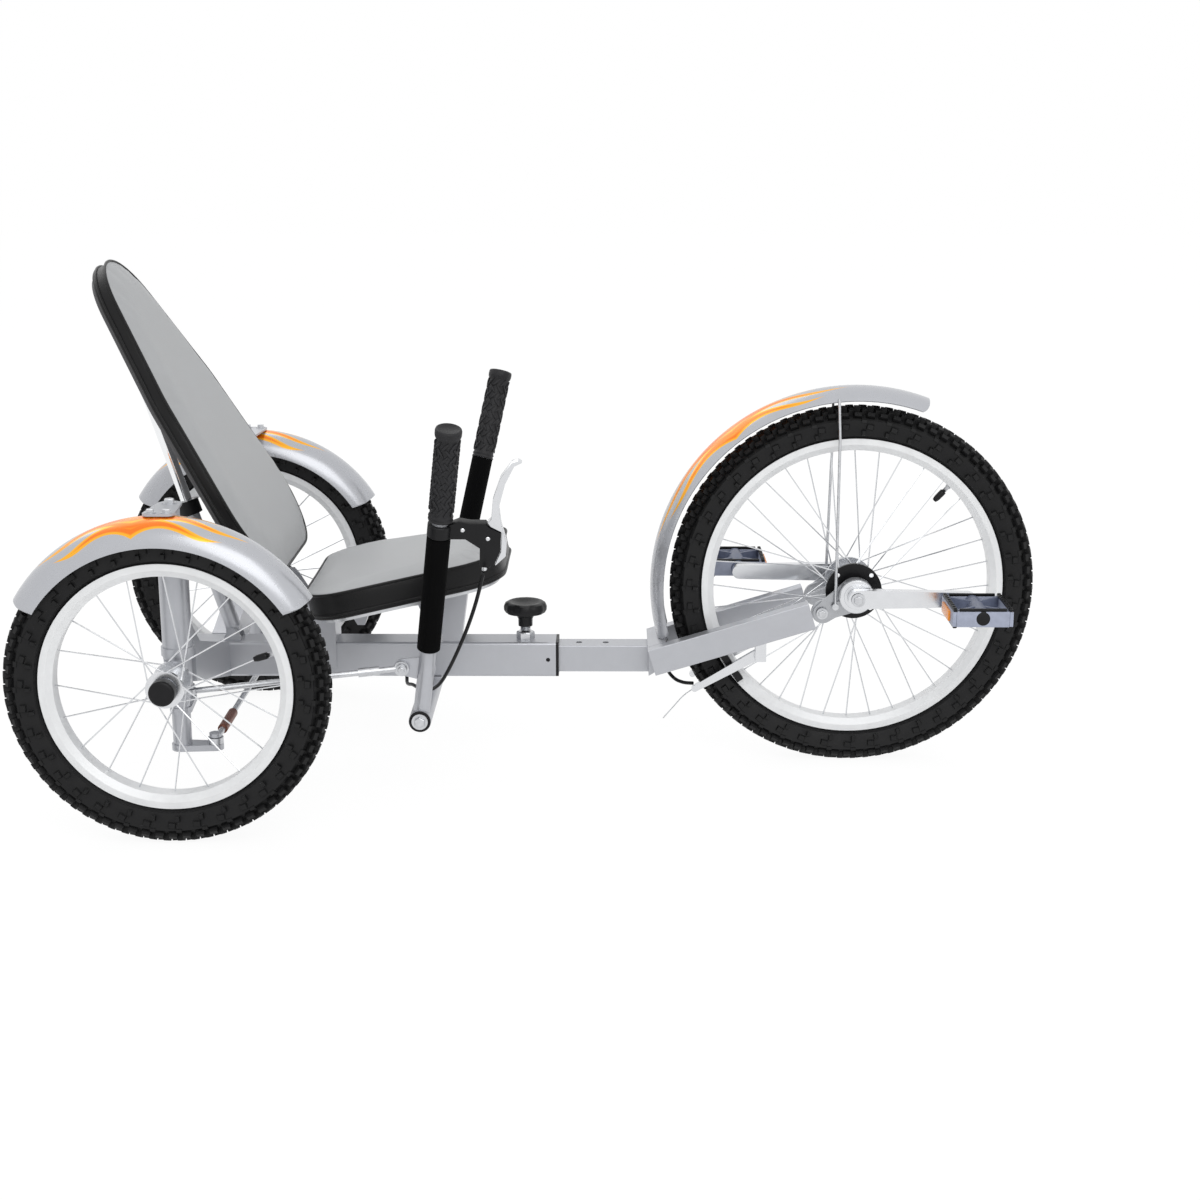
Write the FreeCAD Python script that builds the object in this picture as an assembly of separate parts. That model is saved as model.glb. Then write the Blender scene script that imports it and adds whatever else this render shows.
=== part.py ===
"""Recumbent cruiser tricycle: one driven front wheel on a sliding boom, two steered rear wheels.

Millimetres. +X is forward, +Z is up, and -Y is the rider's right. The origin is on the ground under
the middle of the tricycle. Places along the frame are given from the rear axle by along().
"""
import FreeCAD, Part
import math
import os

V = FreeCAD.Vector
SIDES = {"right": -1, "left": 1}

# Wheels
wheelbase = 894.0
track = 650.0
front_tyre_radius = 255.0
rear_tyre_radius = 205.0
tyre_width = 54.0
tyre_shoulder_drop = 15.0
front_rim_radius = 211.0
rear_rim_radius = 159.5
rim_width = 34.0
rim_flange = 1.8
rim_depth = 17.0
rim_well = 6.5
seat_gap = 0.3
front_spokes = 36
rear_spokes = 20
spoke_radius = 1.0
spoke_stagger = 1.8
front_flange_radius = 34.0
front_flange_offset = 26.0
front_shell_radius = 20.0
front_hub_half = 33.0
rear_flange_radius = 24.0
rear_flange_offset = 21.0
rear_shell_radius = 14.0
rear_hub_half = 27.0
flange_thickness = 5.0
running_gap = 0.05
hub_cap_radius = 16.5
hub_cap_reach = 43.0

# Main beam, liner and sliding inner beam
beam_size = 50.0
beam_wall = 2.5
beam_corner = 4.0
beam_height = 151.0
beam_rear = -40.0
beam_front = 478.0
inner_size = 38.0
inner_wall = 3.0
slide_gap = 0.1
liner_length = 150.0
liner_flange = 4.0
inner_rear = 132.0
crown_place = 609.0
lock_place = 434.5
lock_pitch = 38.0
lock_holes_behind = 6
lock_holes_ahead = 3
lock_hole_radius = 4.5
lock_pin_radius = 4.0
knob_radius = 30.5
knob_height = 29.0
knob_rise = 25.0
knob_stem_radius = 11.0
knob_nut_radius = 13.0
knob_nut_height = 12.0
screw_hole_radius = 3.0
screw_hole_setback = 11.0

# Fork arms, crown and axle carriers
fork_arm_inner = 40.0
fork_arm_width = 20.0
fork_arm_height = 38.0
fork_arm_rise = 5.0
fork_end_back = 59.0
fork_end_drop = 31.0
crown_depth = 26.0
carrier_inner = 46.0
carrier_thickness = 6.0
carrier_plate_thickness = 4.0
carrier_height = 32.0
carrier_bolts_back = (45.7, 22.8)
carrier_bolts_drop = (26.5, 15.6)
carrier_bolt_radius = 4.0
carrier_head_height = 4.0
bearing_radius = 24.0
bearing_reach = 70.0
drive_disc_radius = 39.0
drive_disc_thickness = 5.0
drive_bolt_circle = 33.0
drive_bolts = 4
drive_bolt_radius = 3.0

# Cranks and pedals
spindle_radius = 8.0
crank_length = 152.0
crank_inner = 74.0
crank_thickness = 14.0
crank_root = 13.0
crank_tip = 10.0
pedal_pin_radius = 6.0
pedal_inner = 98.0
pedal_width = 90.0
pedal_length = 80.0
pedal_height = 28.0
pedal_barrel_radius = 13.0
pedal_bar = 9.0
reflector_size = (50.0, 14.0)
reflector_thickness = 3.0

# Fenders
fender_thickness = 2.0
fender_corner = 14.0
front_fender_half_width = 35.0
front_fender_edge = 266.0
front_fender_crown = 283.0
front_fender_from = 69.4
front_fender_to = 195.35
rear_fender_half_width = 38.0
rear_fender_edge = 184.0
rear_fender_crown = 217.0
rear_fender_from = 31.5
rear_fender_to = 148.5
stay_wire_radius = 2.0

# Front brake
brake_pivot_back = 129.0
brake_pivot_drop = 90.0
brake_tip_back = 220.0
brake_tip_drop = 142.0
brake_arm_inner = 33.0
brake_arm_thickness = 7.0
brake_boss_radius = 7.5
brake_tip_radius = 4.5
brake_stud_radius = 4.0
shoe_length = 50.0
shoe_height = 10.0
shoe_thickness = 9.0
shoe_gap = 1.5

# Kingpins, cross arms and knuckles
kingpin_offset = 60.0
arm_width = 34.0
arm_outer_bottom = 184.0
arm_outer_top = 242.0
arm_clearance = 25.0
gusset_thickness = 8.0
gusset_start = 148.0
gusset_top = 291.0
head_tube_radius = 19.0
head_tube_bottom = 228.0
head_tube_top = 360.0
head_tube_wall = 3.0
cup_radius = 21.0
cup_height = 11.0
steerer_radius = 12.5
knuckle_tube_radius = 12.0
knuckle_bottom = 100.0
arm_plate_thickness = 8.0
steer_arm_reach = 43.0
drag_arm_reach = 50.0
drag_arm_bottom = 150.0
arm_root_radius = 14.0
arm_tip_radius = 10.0
stud_radius = 5.0
eye_radius = 10.0
eye_height = 8.0
thrust_gap = 0.3
axle_block_radius = 17.0
axle_block_half_height = 18.0
axle_radius = 6.0
strap_half_length = 20.0
strap_thickness = 3.0
strap_end_radius = 9.0
tie_rod_radius = 6.0
tie_sleeve_radius = 8.5
tie_sleeve_length = 70.0

# Steering levers
lever_place = 300.0
lever_pivot_height = 111.0
lever_offset = 170.0
crossbar_radius = 15.0
lever_boss_radius = 15.0
lever_boss_half = 14.0
lever_pin_radius = 7.5
lever_tube_radius = 11.1
lever_lean = {"right": 7.5, "left": 12.2}
lever_bend_height = 190.0
lever_bend_radius = 60.0
lever_top_height = 521.0
lever_top_offset = 270.0
foam_radius = 15.5
foam_from = 212.0
foam_to = {"right": 374.5, "left": 393.5}
grip_radius = 16.5
grip_from = 398.0
lever_eye_back = 23.4
lever_eye_rise = 71.5
tab_thickness = 5.0
tab_radius = 11.0

# Brake lever on the right steering lever, in its own plane: forward from the tube, up from the ground
clamp_height = 384.0
clamp_half = 9.0
clamp_radius = 16.0
brake_body_width = 14.0
brake_blade_width = 11.0
cable_radius = 2.5
barrel_radius = 4.0

# Seat
seat_place = 250.0
seat_height = 297.0
seat_slope = 10.9
seat_rear_circle = (-66.0, 99.0, 50.0)
seat_nose_circle = (89.6, 55.0, 70.0)
seat_thickness = 44.0
pad_round = 8.0
pan_inset = 14.0
pan_thickness = 5.0
bracket_half_width = 20.0
bracket_wall = 3.0
leg_foot = (318.0, 344.0)
leg_head = (322.0, 357.0)
rear_bracket_inner = 25.0
rear_bracket_thickness = 3.0
rear_bracket_place = (96.0, 168.0)
rear_bracket_drop = 36.0
gusset_place = (178.0, 222.0)
gusset_drop = 34.0
gusset_half_width = 16.0

# Backrest and its telescopic stay
back_place = 3.4
back_height = 500.0
back_recline = 30.4
back_top_circle = (148.0, 98.0)
back_low_circle = (-132.0, 75.0, 100.0)
back_waist_circle = (20.0, 46.0, 104.0)
back_thickness = 30.0
back_panel_inset = 12.0
back_panel_thickness = 5.0
hinge_place = 99.0
hinge_height = 262.0
hinge_pin_radius = 5.0
ear_thickness = 4.0
ear_gap = 0.5
stay_foot_place = 20.0
stay_foot_rise = 10.0
stay_length = 415.0
stay_lean = 17.3
stay_outer_radius = 11.0
stay_inner_radius = 8.0
stay_lower_length = 195.0
stay_insert_from = 90.0
collar_radius = 16.0
collar_height = 20.0
stay_eye_radius = 10.0
stay_eye_relief = 1.5
stay_pin_radius = 4.0
stay_pin_play = 1.8
clevis_gap = 0.6
clevis_ear = 4.0
clevis_reach = 24.0

rear_axle_x = -(wheelbase + front_tyre_radius - rear_tyre_radius) / 2


def along(distance):
    """A place along the frame, from its distance ahead of the rear axle."""
    return rear_axle_x + distance


front_axle = V(along(wheelbase), 0, front_tyre_radius)
kingpin_y = track / 2 - kingpin_offset
beam_top = beam_height + beam_size / 2
beam_bottom = beam_height - beam_size / 2


def box(x, y, z):
    """A block between pairs of planes."""
    return Part.makeBox(x[1] - x[0], y[1] - y[0], z[1] - z[0], V(x[0], y[0], z[0]))


def rod(start, end, radius):
    """A round bar from one point to another."""
    axis = end - start
    return Part.makeCylinder(radius, axis.Length, start, axis)


def across(x, z, y, radius):
    """A round bar along Y between a pair of places."""
    low, high = min(y), max(y)
    return rod(V(x, low, z), V(x, high, z), radius)


def upright(x, y, z, radius):
    """A round bar along Z between a pair of heights."""
    return rod(V(x, y, z[0]), V(x, y, z[1]), radius)


def fused(shapes):
    """One solid from shapes that meet."""
    whole = shapes[0].multiFuse(shapes[1:])
    return whole.removeSplitter()


def side_plate(corners, y):
    """A flat plate whose outline lies in the XZ plane, between a pair of places along Y."""
    low, high = min(y), max(y)
    loop = [V(x, low, z) for x, z in corners]
    return Part.Face(Part.makePolygon(loop + loop[:1])).extrude(V(0, high - low, 0))


def belt(circles, place, depth):
    """A slab whose outline is a belt round the circles (a, b, radius), listed anticlockwise."""
    normals = []
    for (a1, b1, r1), (a2, b2, r2) in zip(circles, circles[1:] + circles[:1]):
        length = math.hypot(a2 - a1, b2 - b1)
        da, db = (a2 - a1) / length, (b2 - b1) / length
        lean = (r1 - r2) / length
        reach = math.sqrt(1 - lean * lean)
        normals.append((lean * da + reach * db, lean * db - reach * da))
    edges = []
    for i, (a, b, r) in enumerate(circles):
        start_n, end_n = normals[i - 1], normals[i]
        start = math.atan2(start_n[1], start_n[0])
        turn = (math.atan2(end_n[1], end_n[0]) - start) % (2 * math.pi)
        arc = [place(a + r * math.cos(start + turn * share), b + r * math.sin(start + turn * share))
               for share in (0, 0.5, 1)]
        edges.append(Part.Arc(*arc).toShape())
        a2, b2, r2 = circles[(i + 1) % len(circles)]
        edges.append(Part.LineSegment(arc[2], place(a2 + r2 * end_n[0], b2 + r2 * end_n[1])).toShape())
    return Part.Face(Part.Wire(edges)).extrude(depth)


def side_belt(circles, y):
    """A belt outline in the XZ plane, between a pair of places along Y."""
    low, high = min(y), max(y)
    return belt(circles, lambda x, z: V(x, low, z), V(0, high - low, 0))


def level_belt(circles, z):
    """A belt outline in the XY plane, between a pair of heights."""
    return belt(circles, lambda x, y: V(x, y, z[0]), V(0, 0, z[1] - z[0]))


def turned(profile, centre):
    """A full turn of a closed profile (y, radius) about the wheel axis through the centre."""
    loop = [V(centre.x, centre.y + y, centre.z + r) for y, r in profile]
    face = Part.Face(Part.makePolygon(loop + loop[:1]))
    return face.revolve(centre, V(0, 1, 0), 360)


def rounded_path(points, bend=None):
    """Straight runs joined by tangent arcs, with the arcs' radii."""
    edges, radii, start = [], [], points[0]
    for before, corner, after in zip(points, points[1:], points[2:]):
        back, ahead = before - corner, after - corner
        turn = math.pi - back.getAngle(ahead)
        radius = bend or 0.45 * min(back.Length, ahead.Length) / math.tan(turn / 2)
        reach = radius * math.tan(turn / 2)
        back.normalize()
        ahead.normalize()
        bisector = back + ahead
        bisector.normalize()
        enter, leave = corner + back * reach, corner + ahead * reach
        middle = corner + bisector * (radius / math.cos(turn / 2) - radius)
        edges += [Part.LineSegment(start, enter).toShape(), Part.Arc(enter, middle, leave).toShape()]
        radii.append(radius)
        start = leave
    edges.append(Part.LineSegment(start, points[-1]).toShape())
    return Part.Wire(edges), radii


def bent_tube(points, radius, bend=None):
    """A round bar along straight runs and tangent arcs."""
    path, _ = rounded_path(points, bend)
    section = Part.Wire(Part.makeCircle(radius, points[0], points[1] - points[0]))
    return path.makePipeShell([section], True, False)


def cable(points):
    """A cable along its route, with its bends printed and its volume compared."""
    path, radii = rounded_path(points)
    solid = bent_tube(points, cable_radius)
    expected = math.pi * cable_radius ** 2 * path.Length
    print("cable radii", [round(radius, 1) for radius in radii], "length", round(path.Length, 1),
          "volume ratio", round(solid.Volume / expected, 4))
    return solid


def mirrored(shape):
    """The same shape on the other side of the tricycle."""
    return shape.mirror(V(0, 0, 0), V(0, 1, 0))


def on_side(shape, side):
    """A shape modelled on the right, for either side."""
    return shape if side == "right" else mirrored(shape)


def square_bar(x, size, radius):
    """A square bar along X at the beam's height, with rounded long edges."""
    half = size / 2
    bar = box(x, (-half, half), (beam_height - half, beam_height + half))
    long_edges = [edge for edge in bar.Edges if abs(edge.Length - (x[1] - x[0])) < 1e-6]
    return bar.makeFillet(radius, long_edges)


def main_beam():
    """The square main beam, closed at the rear, with the lock's hole on top."""
    outer = square_bar((along(beam_rear), along(beam_front)), beam_size, beam_corner)
    bore_size = beam_size - 2 * beam_wall
    bore = square_bar((along(beam_rear) + beam_wall, along(beam_front)), bore_size, beam_corner - beam_wall)
    pin_hole = upright(along(lock_place), 0, (beam_height, beam_top), lock_pin_radius + running_gap)
    screw_x = along(beam_front - screw_hole_setback)
    screw_hole = across(screw_x, beam_height, (-beam_size, 0), screw_hole_radius)
    return outer.cut(bore).cut(pin_hole).cut(screw_hole)


def beam_liner():
    """The black liner that guides the inner beam, with its flange on the beam's front end."""
    front = along(beam_front)
    sleeve = square_bar((front - liner_length, front), beam_size - 2 * beam_wall, beam_corner - beam_wall)
    flange = square_bar((front, front + liner_flange), beam_size, beam_corner)
    bore_size = inner_size + 2 * slide_gap
    bore = square_bar((front - liner_length, front + liner_flange), bore_size, beam_corner - beam_wall)
    pin_hole = upright(along(lock_place), 0, (beam_height, beam_top), lock_pin_radius + running_gap)
    return fused([sleeve, flange]).cut(bore).cut(pin_hole)


def lock_knob():
    """The round knob of the boom lock, with its stem, nut and lifted pin."""
    x = along(lock_place)
    pin_end = beam_height + inner_size / 2 + slide_gap + seat_gap
    pin = upright(x, 0, (pin_end, beam_top + knob_nut_height), lock_pin_radius)
    nut = level_belt([(x + knob_nut_radius / 2 * math.cos(math.radians(60 * i)),
                       knob_nut_radius / 2 * math.sin(math.radians(60 * i)), knob_nut_radius / 2)
                      for i in range(6)], (beam_top, beam_top + knob_nut_height))
    stem = upright(x, 0, (beam_top + knob_nut_height, beam_top + knob_rise), knob_stem_radius)
    disc = upright(x, 0, (beam_top + knob_rise, beam_top + knob_rise + knob_height), knob_radius)
    rims = [edge for edge in disc.Edges if abs(edge.Length - 2 * math.pi * knob_radius) < 1e-3]
    return fused([pin, nut, stem, disc.makeFillet(knob_height * 0.3, rims)])


def inner_beam():
    """The sliding inner beam with its row of lock holes."""
    rear, front = along(inner_rear), along(crown_place)
    outer = square_bar((rear, front), inner_size, beam_corner - beam_wall)
    bore = square_bar((rear, front), inner_size - 2 * inner_wall, 0.5)
    bar = outer.cut(bore)
    for step in range(-lock_holes_behind, lock_holes_ahead + 1):
        hole_x = along(lock_place) + step * lock_pitch
        hole = upright(hole_x, 0, (beam_height, beam_height + inner_size), lock_hole_radius)
        bar = bar.cut(hole)
    return bar


arm_start = V(along(crown_place + 4), 0, beam_height + fork_arm_rise)
arm_end = V(front_axle.x - fork_end_back, 0, front_axle.z - fork_end_drop)
arm_direction = (arm_end - arm_start).normalize()
arm_up = V(-arm_direction.z, 0, arm_direction.x)


def arm_point(distance, rise):
    """A place beside the fork arms' middle line, as (x, z)."""
    point = arm_start + arm_direction * distance + arm_up * rise
    return point.x, point.z


def fork_arms():
    """The two inclined box arms that carry the front wheel."""
    length = (arm_end - arm_start).Length
    half = fork_arm_height / 2
    outline = [arm_point(0, -half), arm_point(length, -half), arm_point(length, half), arm_point(0, half)]
    outer = fork_arm_inner + fork_arm_width
    arm = side_plate(outline, (-outer, -fork_arm_inner))
    long_edges = [edge for edge in arm.Edges if abs(edge.Length - length) < 1e-6]
    arm = arm.makeFillet(beam_corner - beam_wall, long_edges)
    return Part.Compound([arm, mirrored(arm)])


def fork_crown():
    """The cross box that joins the inner beam to the fork arms."""
    half = fork_arm_height / 2
    outline = [arm_point(0, -half), arm_point(crown_depth, -half), arm_point(crown_depth, half),
               arm_point(0, half), (along(crown_place), beam_height + inner_size / 2),
               (along(crown_place), beam_height - inner_size / 2)]
    return side_plate(outline, (-fork_arm_inner, fork_arm_inner))


def axle_carriers():
    """The bolted plates at the fork ends, with the bearing covers that hold the spindle."""
    bolts = [(front_axle.x - back, front_axle.z - drop)
             for back, drop in zip(carrier_bolts_back, carrier_bolts_drop)]
    half = carrier_height / 2
    fixed_inner = fork_arm_inner + (fork_arm_width - carrier_thickness) / 2
    fixed_y = (-fixed_inner - carrier_thickness, -fixed_inner)
    end = arm_end
    fixed = side_belt([(end.x + half * arm_direction.x, end.z + half * arm_direction.z, half),
                       (bolts[1][0], bolts[1][1], half - 2)][::-1], fixed_y)
    behind_end = side_plate([arm_point(0, -60), arm_point((arm_end - arm_start).Length, -60),
                             arm_point((arm_end - arm_start).Length, 60), arm_point(0, 60)], fixed_y)
    fixed = fixed.cut(behind_end)
    plate_y = (fixed_y[0] - carrier_plate_thickness, fixed_y[0])
    plate = side_belt([(front_axle.x, front_axle.z, bearing_radius), (bolts[0][0], bolts[0][1], half - 4)],
                      plate_y)
    plate = plate.cut(behind_end)
    cover = across(front_axle.x, front_axle.z, (-bearing_reach, plate_y[1]), bearing_radius)
    head_y = plate_y[0] - carrier_head_height
    studs = [across(x, z, (head_y, fixed_y[1]), carrier_bolt_radius) for x, z in bolts]
    heads = [across(x, z, (head_y, plate_y[0]), carrier_bolt_radius * 1.7) for x, z in bolts]
    bore = across(front_axle.x, front_axle.z, (-bearing_reach, fixed_y[1]), spindle_radius + running_gap)
    whole = fused([fixed, plate, cover] + studs + heads).cut(bore)
    return Part.Compound([whole, mirrored(whole)])


def tyre(centre, radius, rim_radius):
    """A solid tyre ring out to the tips of its tread, seated in the rim."""
    half = tyre_width / 2
    bead = rim_width / 2 - rim_flange - seat_gap
    inner = rim_radius - rim_well + seat_gap
    mid = (radius + rim_radius) / 2
    profile = [(bead, inner), (bead, rim_radius), (half - 4, rim_radius + 8), (half, mid),
               (half, radius - tyre_shoulder_drop), (half - 5, radius - 5), (half - 15, radius), (0, radius)]
    return turned(profile + [(-y, r) for y, r in profile[-2::-1]], centre)


def rim(centre, rim_radius):
    """A channel rim with its spoke bed."""
    half = rim_width / 2
    profile = [(half, rim_radius), (half, rim_radius - rim_well - 2), (half - 6, rim_radius - rim_depth),
               (-half + 6, rim_radius - rim_depth), (-half, rim_radius - rim_well - 2), (-half, rim_radius),
               (-half + rim_flange, rim_radius), (-half + rim_flange, rim_radius - rim_well),
               (half - rim_flange, rim_radius - rim_well), (half - rim_flange, rim_radius)]
    return turned(profile, centre)


def spokes(centre, count, flange_radius, flange_offset, rim_radius):
    """Crossed spokes from both hub flanges to the spoke bed."""
    bars = []
    per_side = count // 2
    reach = rim_radius - rim_depth - seat_gap
    for index in range(count):
        side = 1 if index % 2 else -1
        place = index // 2
        lean = 1 if place % 2 else -1
        rim_angle = 2 * math.pi * index / count
        hub_angle = rim_angle + lean * 2 * math.pi * 1.5 / per_side
        hub_radius = flange_radius - 3
        hub_y = side * (flange_offset + lean * spoke_stagger)
        start = centre + V(hub_radius * math.cos(hub_angle), hub_y, hub_radius * math.sin(hub_angle))
        end = centre + V(reach * math.cos(rim_angle), side * 2.0, reach * math.sin(rim_angle))
        section = Part.makePolygon(hexagon(start, end - start, spoke_radius))
        bars.append(Part.Face(section).extrude(end - start))
    return bars


def hexagon(centre, axis, radius):
    """A closed loop of six points square to the axis."""
    first = axis.cross(V(0.3, 1, 0.2))
    first.normalize()
    second = axis.cross(first)
    second.normalize()
    loop = [centre + first * (radius * math.cos(math.radians(60 * i)))
            + second * (radius * math.sin(math.radians(60 * i))) for i in range(6)]
    return loop + loop[:1]


def spoked_hub(centre, count, flange_radius, flange_offset, shell_radius, half, bore, rim_radius):
    """A hub shell with two flanges and its spokes, bored for its axle."""
    shell = across(centre.x, centre.z, (centre.y - half, centre.y + half), shell_radius)
    flanges = []
    for side in (-1, 1):
        middle = centre.y + side * flange_offset
        faces = (middle - flange_thickness / 2, middle + flange_thickness / 2)
        flanges.append(across(centre.x, centre.z, faces, flange_radius))
    hole = across(centre.x, centre.z, (centre.y - half, centre.y + half), bore)
    bars = spokes(centre, count, flange_radius, flange_offset, rim_radius)
    return fused([shell] + flanges + bars).cut(hole)


def drive_disc():
    """The black drive disc beside the front hub, with its bolts."""
    inner, outer = -front_hub_half, -front_hub_half - drive_disc_thickness
    disc = across(front_axle.x, front_axle.z, (outer, inner), drive_disc_radius)
    heads = []
    for index in range(drive_bolts):
        angle = math.radians(45 + 360 / drive_bolts * index)
        x = front_axle.x + drive_bolt_circle * math.cos(angle)
        z = front_axle.z + drive_bolt_circle * math.sin(angle)
        heads.append(across(x, z, (outer - 3, outer), drive_bolt_radius))
    hole = across(front_axle.x, front_axle.z, (outer, inner), spindle_radius + running_gap)
    return fused([disc] + heads).cut(hole)


def crank_spindle():
    """The spindle through the hub and both bearings, with a collar at each end."""
    reach = crank_inner + crank_thickness + 2
    bar = across(front_axle.x, front_axle.z, (-reach, reach), spindle_radius)
    return bar


def crank_arms():
    """The two crank arms, right forward and left backward, with their pedal pins."""
    outer = crank_inner + crank_thickness
    tip_x = front_axle.x + crank_length
    arm = side_belt([(front_axle.x, front_axle.z, crank_root), (tip_x, front_axle.z, crank_tip)],
                    (-outer, -crank_inner))
    hole = across(front_axle.x, front_axle.z, (-outer, -crank_inner), spindle_radius + running_gap)
    pin = across(tip_x, front_axle.z, (-pedal_inner - pedal_width + 8, -outer), pedal_pin_radius)
    right = fused([arm.cut(hole), pin])
    left = right.copy()
    left.rotate(front_axle, V(0, 0, 1), 180)
    return Part.Compound([right, left])


def pedal(side):
    """A platform pedal: end bars, cross bars and a barrel round its pin, with two reflectors."""
    x, z = front_axle.x + crank_length, front_axle.z
    inner, outer = -pedal_inner, -pedal_inner - pedal_width
    half_length, half_height = pedal_length / 2, pedal_height / 2
    block = box((x - half_length, x + half_length), (outer, inner), (z - half_height, z + half_height))
    uprights = [edge for edge in block.Edges if abs(edge.Length - pedal_height) < 1e-6]
    block = block.makeFillet(8.0, uprights)
    window_x = (half_length - pedal_bar, pedal_barrel_radius + 2)
    for direction in (-1, 1):
        reach = sorted((x + direction * window_x[0], x + direction * window_x[1]))
        block = block.cut(box(reach, (outer + pedal_bar, inner - pedal_bar), (z - pedal_height, z + pedal_height)))
    cap_end = outer + 3
    bore = across(x, z, (cap_end, inner), pedal_pin_radius + running_gap)
    block = block.cut(bore)
    plates = []
    half_plate = reflector_size[0] / 2
    middle = (inner + outer) / 2
    for direction in (-1, 1):
        reach = sorted((x + direction * half_length, x + direction * (half_length + reflector_thickness)))
        plates.append(box(reach, (middle - half_plate, middle + half_plate),
                          (z - reflector_size[1] / 2, z + reflector_size[1] / 2)))
    whole = Part.Compound([block] + plates)
    if side == "left":
        whole.rotate(front_axle, V(0, 0, 1), 180)
    return whole


def fender(centre, half_width, edge_radius, crown_radius, start, end):
    """A curved fender shell about a wheel, with rounded corners."""
    rise = crown_radius - edge_radius
    bow = (half_width ** 2 + rise ** 2) / (2 * rise)
    bow_centre = crown_radius - bow
    spread = math.asin(half_width / bow)
    ahead = V(math.cos(math.radians(start)), 0, math.sin(math.radians(start)))

    def place(radius, angle):
        return centre + V(0, radius * math.sin(angle), 0) + ahead * (bow_centre + radius * math.cos(angle))

    inner = bow - fender_thickness
    loop = [Part.Arc(place(bow, -spread), place(bow, 0), place(bow, spread)).toShape(),
            Part.LineSegment(place(bow, spread), place(inner, spread)).toShape(),
            Part.Arc(place(inner, spread), place(inner, 0), place(inner, -spread)).toShape(),
            Part.LineSegment(place(inner, -spread), place(bow, -spread)).toShape()]
    shell = Part.Face(Part.Wire(loop)).revolve(centre, V(0, -1, 0), end - start)
    back_off = math.degrees(fender_corner / crown_radius)
    for angle, beyond in ((start + back_off, 1), (end - back_off, -1)):
        for side in (-1, 1):
            block = box(sorted((0, beyond * 2 * fender_corner)), sorted((0, side * 2 * fender_corner)),
                        (edge_radius - fender_corner, crown_radius + fender_corner))
            cutter = block.cut(upright(0, 0, (0, crown_radius + 2 * fender_corner), fender_corner))
            cutter.rotate(V(0, 0, 0), V(0, 1, 0), 90 - angle)
            cutter.translate(centre + V(0, side * (half_width - fender_corner), 0))
            shell = shell.cut(cutter)
    return shell


def front_fender():
    """The front fender, standing on the fork crown."""
    return fender(front_axle, front_fender_half_width, front_fender_edge, front_fender_crown,
                  front_fender_from, front_fender_to)


def fender_stays():
    """The wire stays from the front fender's sides down to the axle carriers."""
    angle = math.radians(96)
    wire_y = front_fender_half_width + stay_wire_radius + seat_gap
    reach = front_fender_edge + 4
    top = front_axle + V(reach * math.cos(angle), -wire_y, reach * math.sin(angle))
    plate_y = fork_arm_inner + (fork_arm_width + carrier_thickness) / 2 + carrier_plate_thickness
    foot_y = plate_y + carrier_head_height + stay_wire_radius + 3 * seat_gap
    foot = V(front_axle.x - 28, -foot_y, front_axle.z - 16)
    knee = top + V(2, -6, -52)
    wire = bent_tube([top, knee, foot], stay_wire_radius, 30)
    pad = across(foot.x, foot.z, (foot.y - stay_wire_radius, foot.y + stay_wire_radius), 4.5)
    wire = fused([wire, pad])
    return Part.Compound([wire, mirrored(wire)])


brake_pivot = (front_axle.x - brake_pivot_back, front_axle.z - brake_pivot_drop)
brake_tip = (front_axle.x - brake_tip_back, front_axle.z - brake_tip_drop)


def brake_arms():
    """The two brake arms on their studs under the fork arms."""
    outer = brake_arm_inner + brake_arm_thickness
    arm = side_belt([(brake_pivot[0], brake_pivot[1], brake_boss_radius), (brake_tip[0], brake_tip[1], brake_tip_radius)][::-1],
                    (-outer, -brake_arm_inner))
    slope = arm_direction.z / arm_direction.x
    under_arm = arm_start.z + (brake_pivot[0] - arm_start.x) * slope - fork_arm_height / 2 / arm_direction.x
    boss_y = (-fork_arm_inner - fork_arm_width + 3, -outer - 0.5)
    lean = slope * brake_boss_radius
    boss = side_plate([(brake_pivot[0] - brake_boss_radius, brake_pivot[1] - brake_boss_radius),
                       (brake_pivot[0] + brake_boss_radius, brake_pivot[1] - brake_boss_radius),
                       (brake_pivot[0] + brake_boss_radius, under_arm + lean),
                       (brake_pivot[0] - brake_boss_radius, under_arm - lean)], boss_y)
    stud = across(brake_pivot[0], brake_pivot[1], (boss_y[1], -brake_arm_inner + 2), brake_stud_radius)
    whole = fused([arm, boss, stud])
    return Part.Compound([whole, mirrored(whole)])


def brake_shoes():
    """The two brake shoes beside the rim, on posts from the arms."""
    radius = front_rim_radius - 8
    angle = math.atan2(brake_tip[1] - brake_pivot[1], brake_tip[0] - brake_pivot[0])
    start = V(brake_pivot[0], 0, brake_pivot[1]) - front_axle
    step = V(math.cos(angle), 0, math.sin(angle))
    middle = start.dot(step)
    travel = -middle + math.sqrt(middle ** 2 - start.dot(start) + radius ** 2)
    post = front_axle + start + step * travel
    out = (post - front_axle).normalize()
    round_way = V(-out.z, 0, out.x)
    inner = rim_width / 2 + shoe_gap
    corners = [post + round_way * (sa * shoe_length / 2) + out * (sb * shoe_height / 2)
               for sa, sb in ((-1, -1), (1, -1), (1, 1), (-1, 1))]
    shoe = side_plate([(p.x, p.z) for p in corners], (-inner - shoe_thickness, -inner))
    pin = across(post.x, post.z, (-brake_arm_inner, -inner - shoe_thickness), 3.5)
    whole = fused([shoe, pin])
    return Part.Compound([whole, mirrored(whole)])


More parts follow.
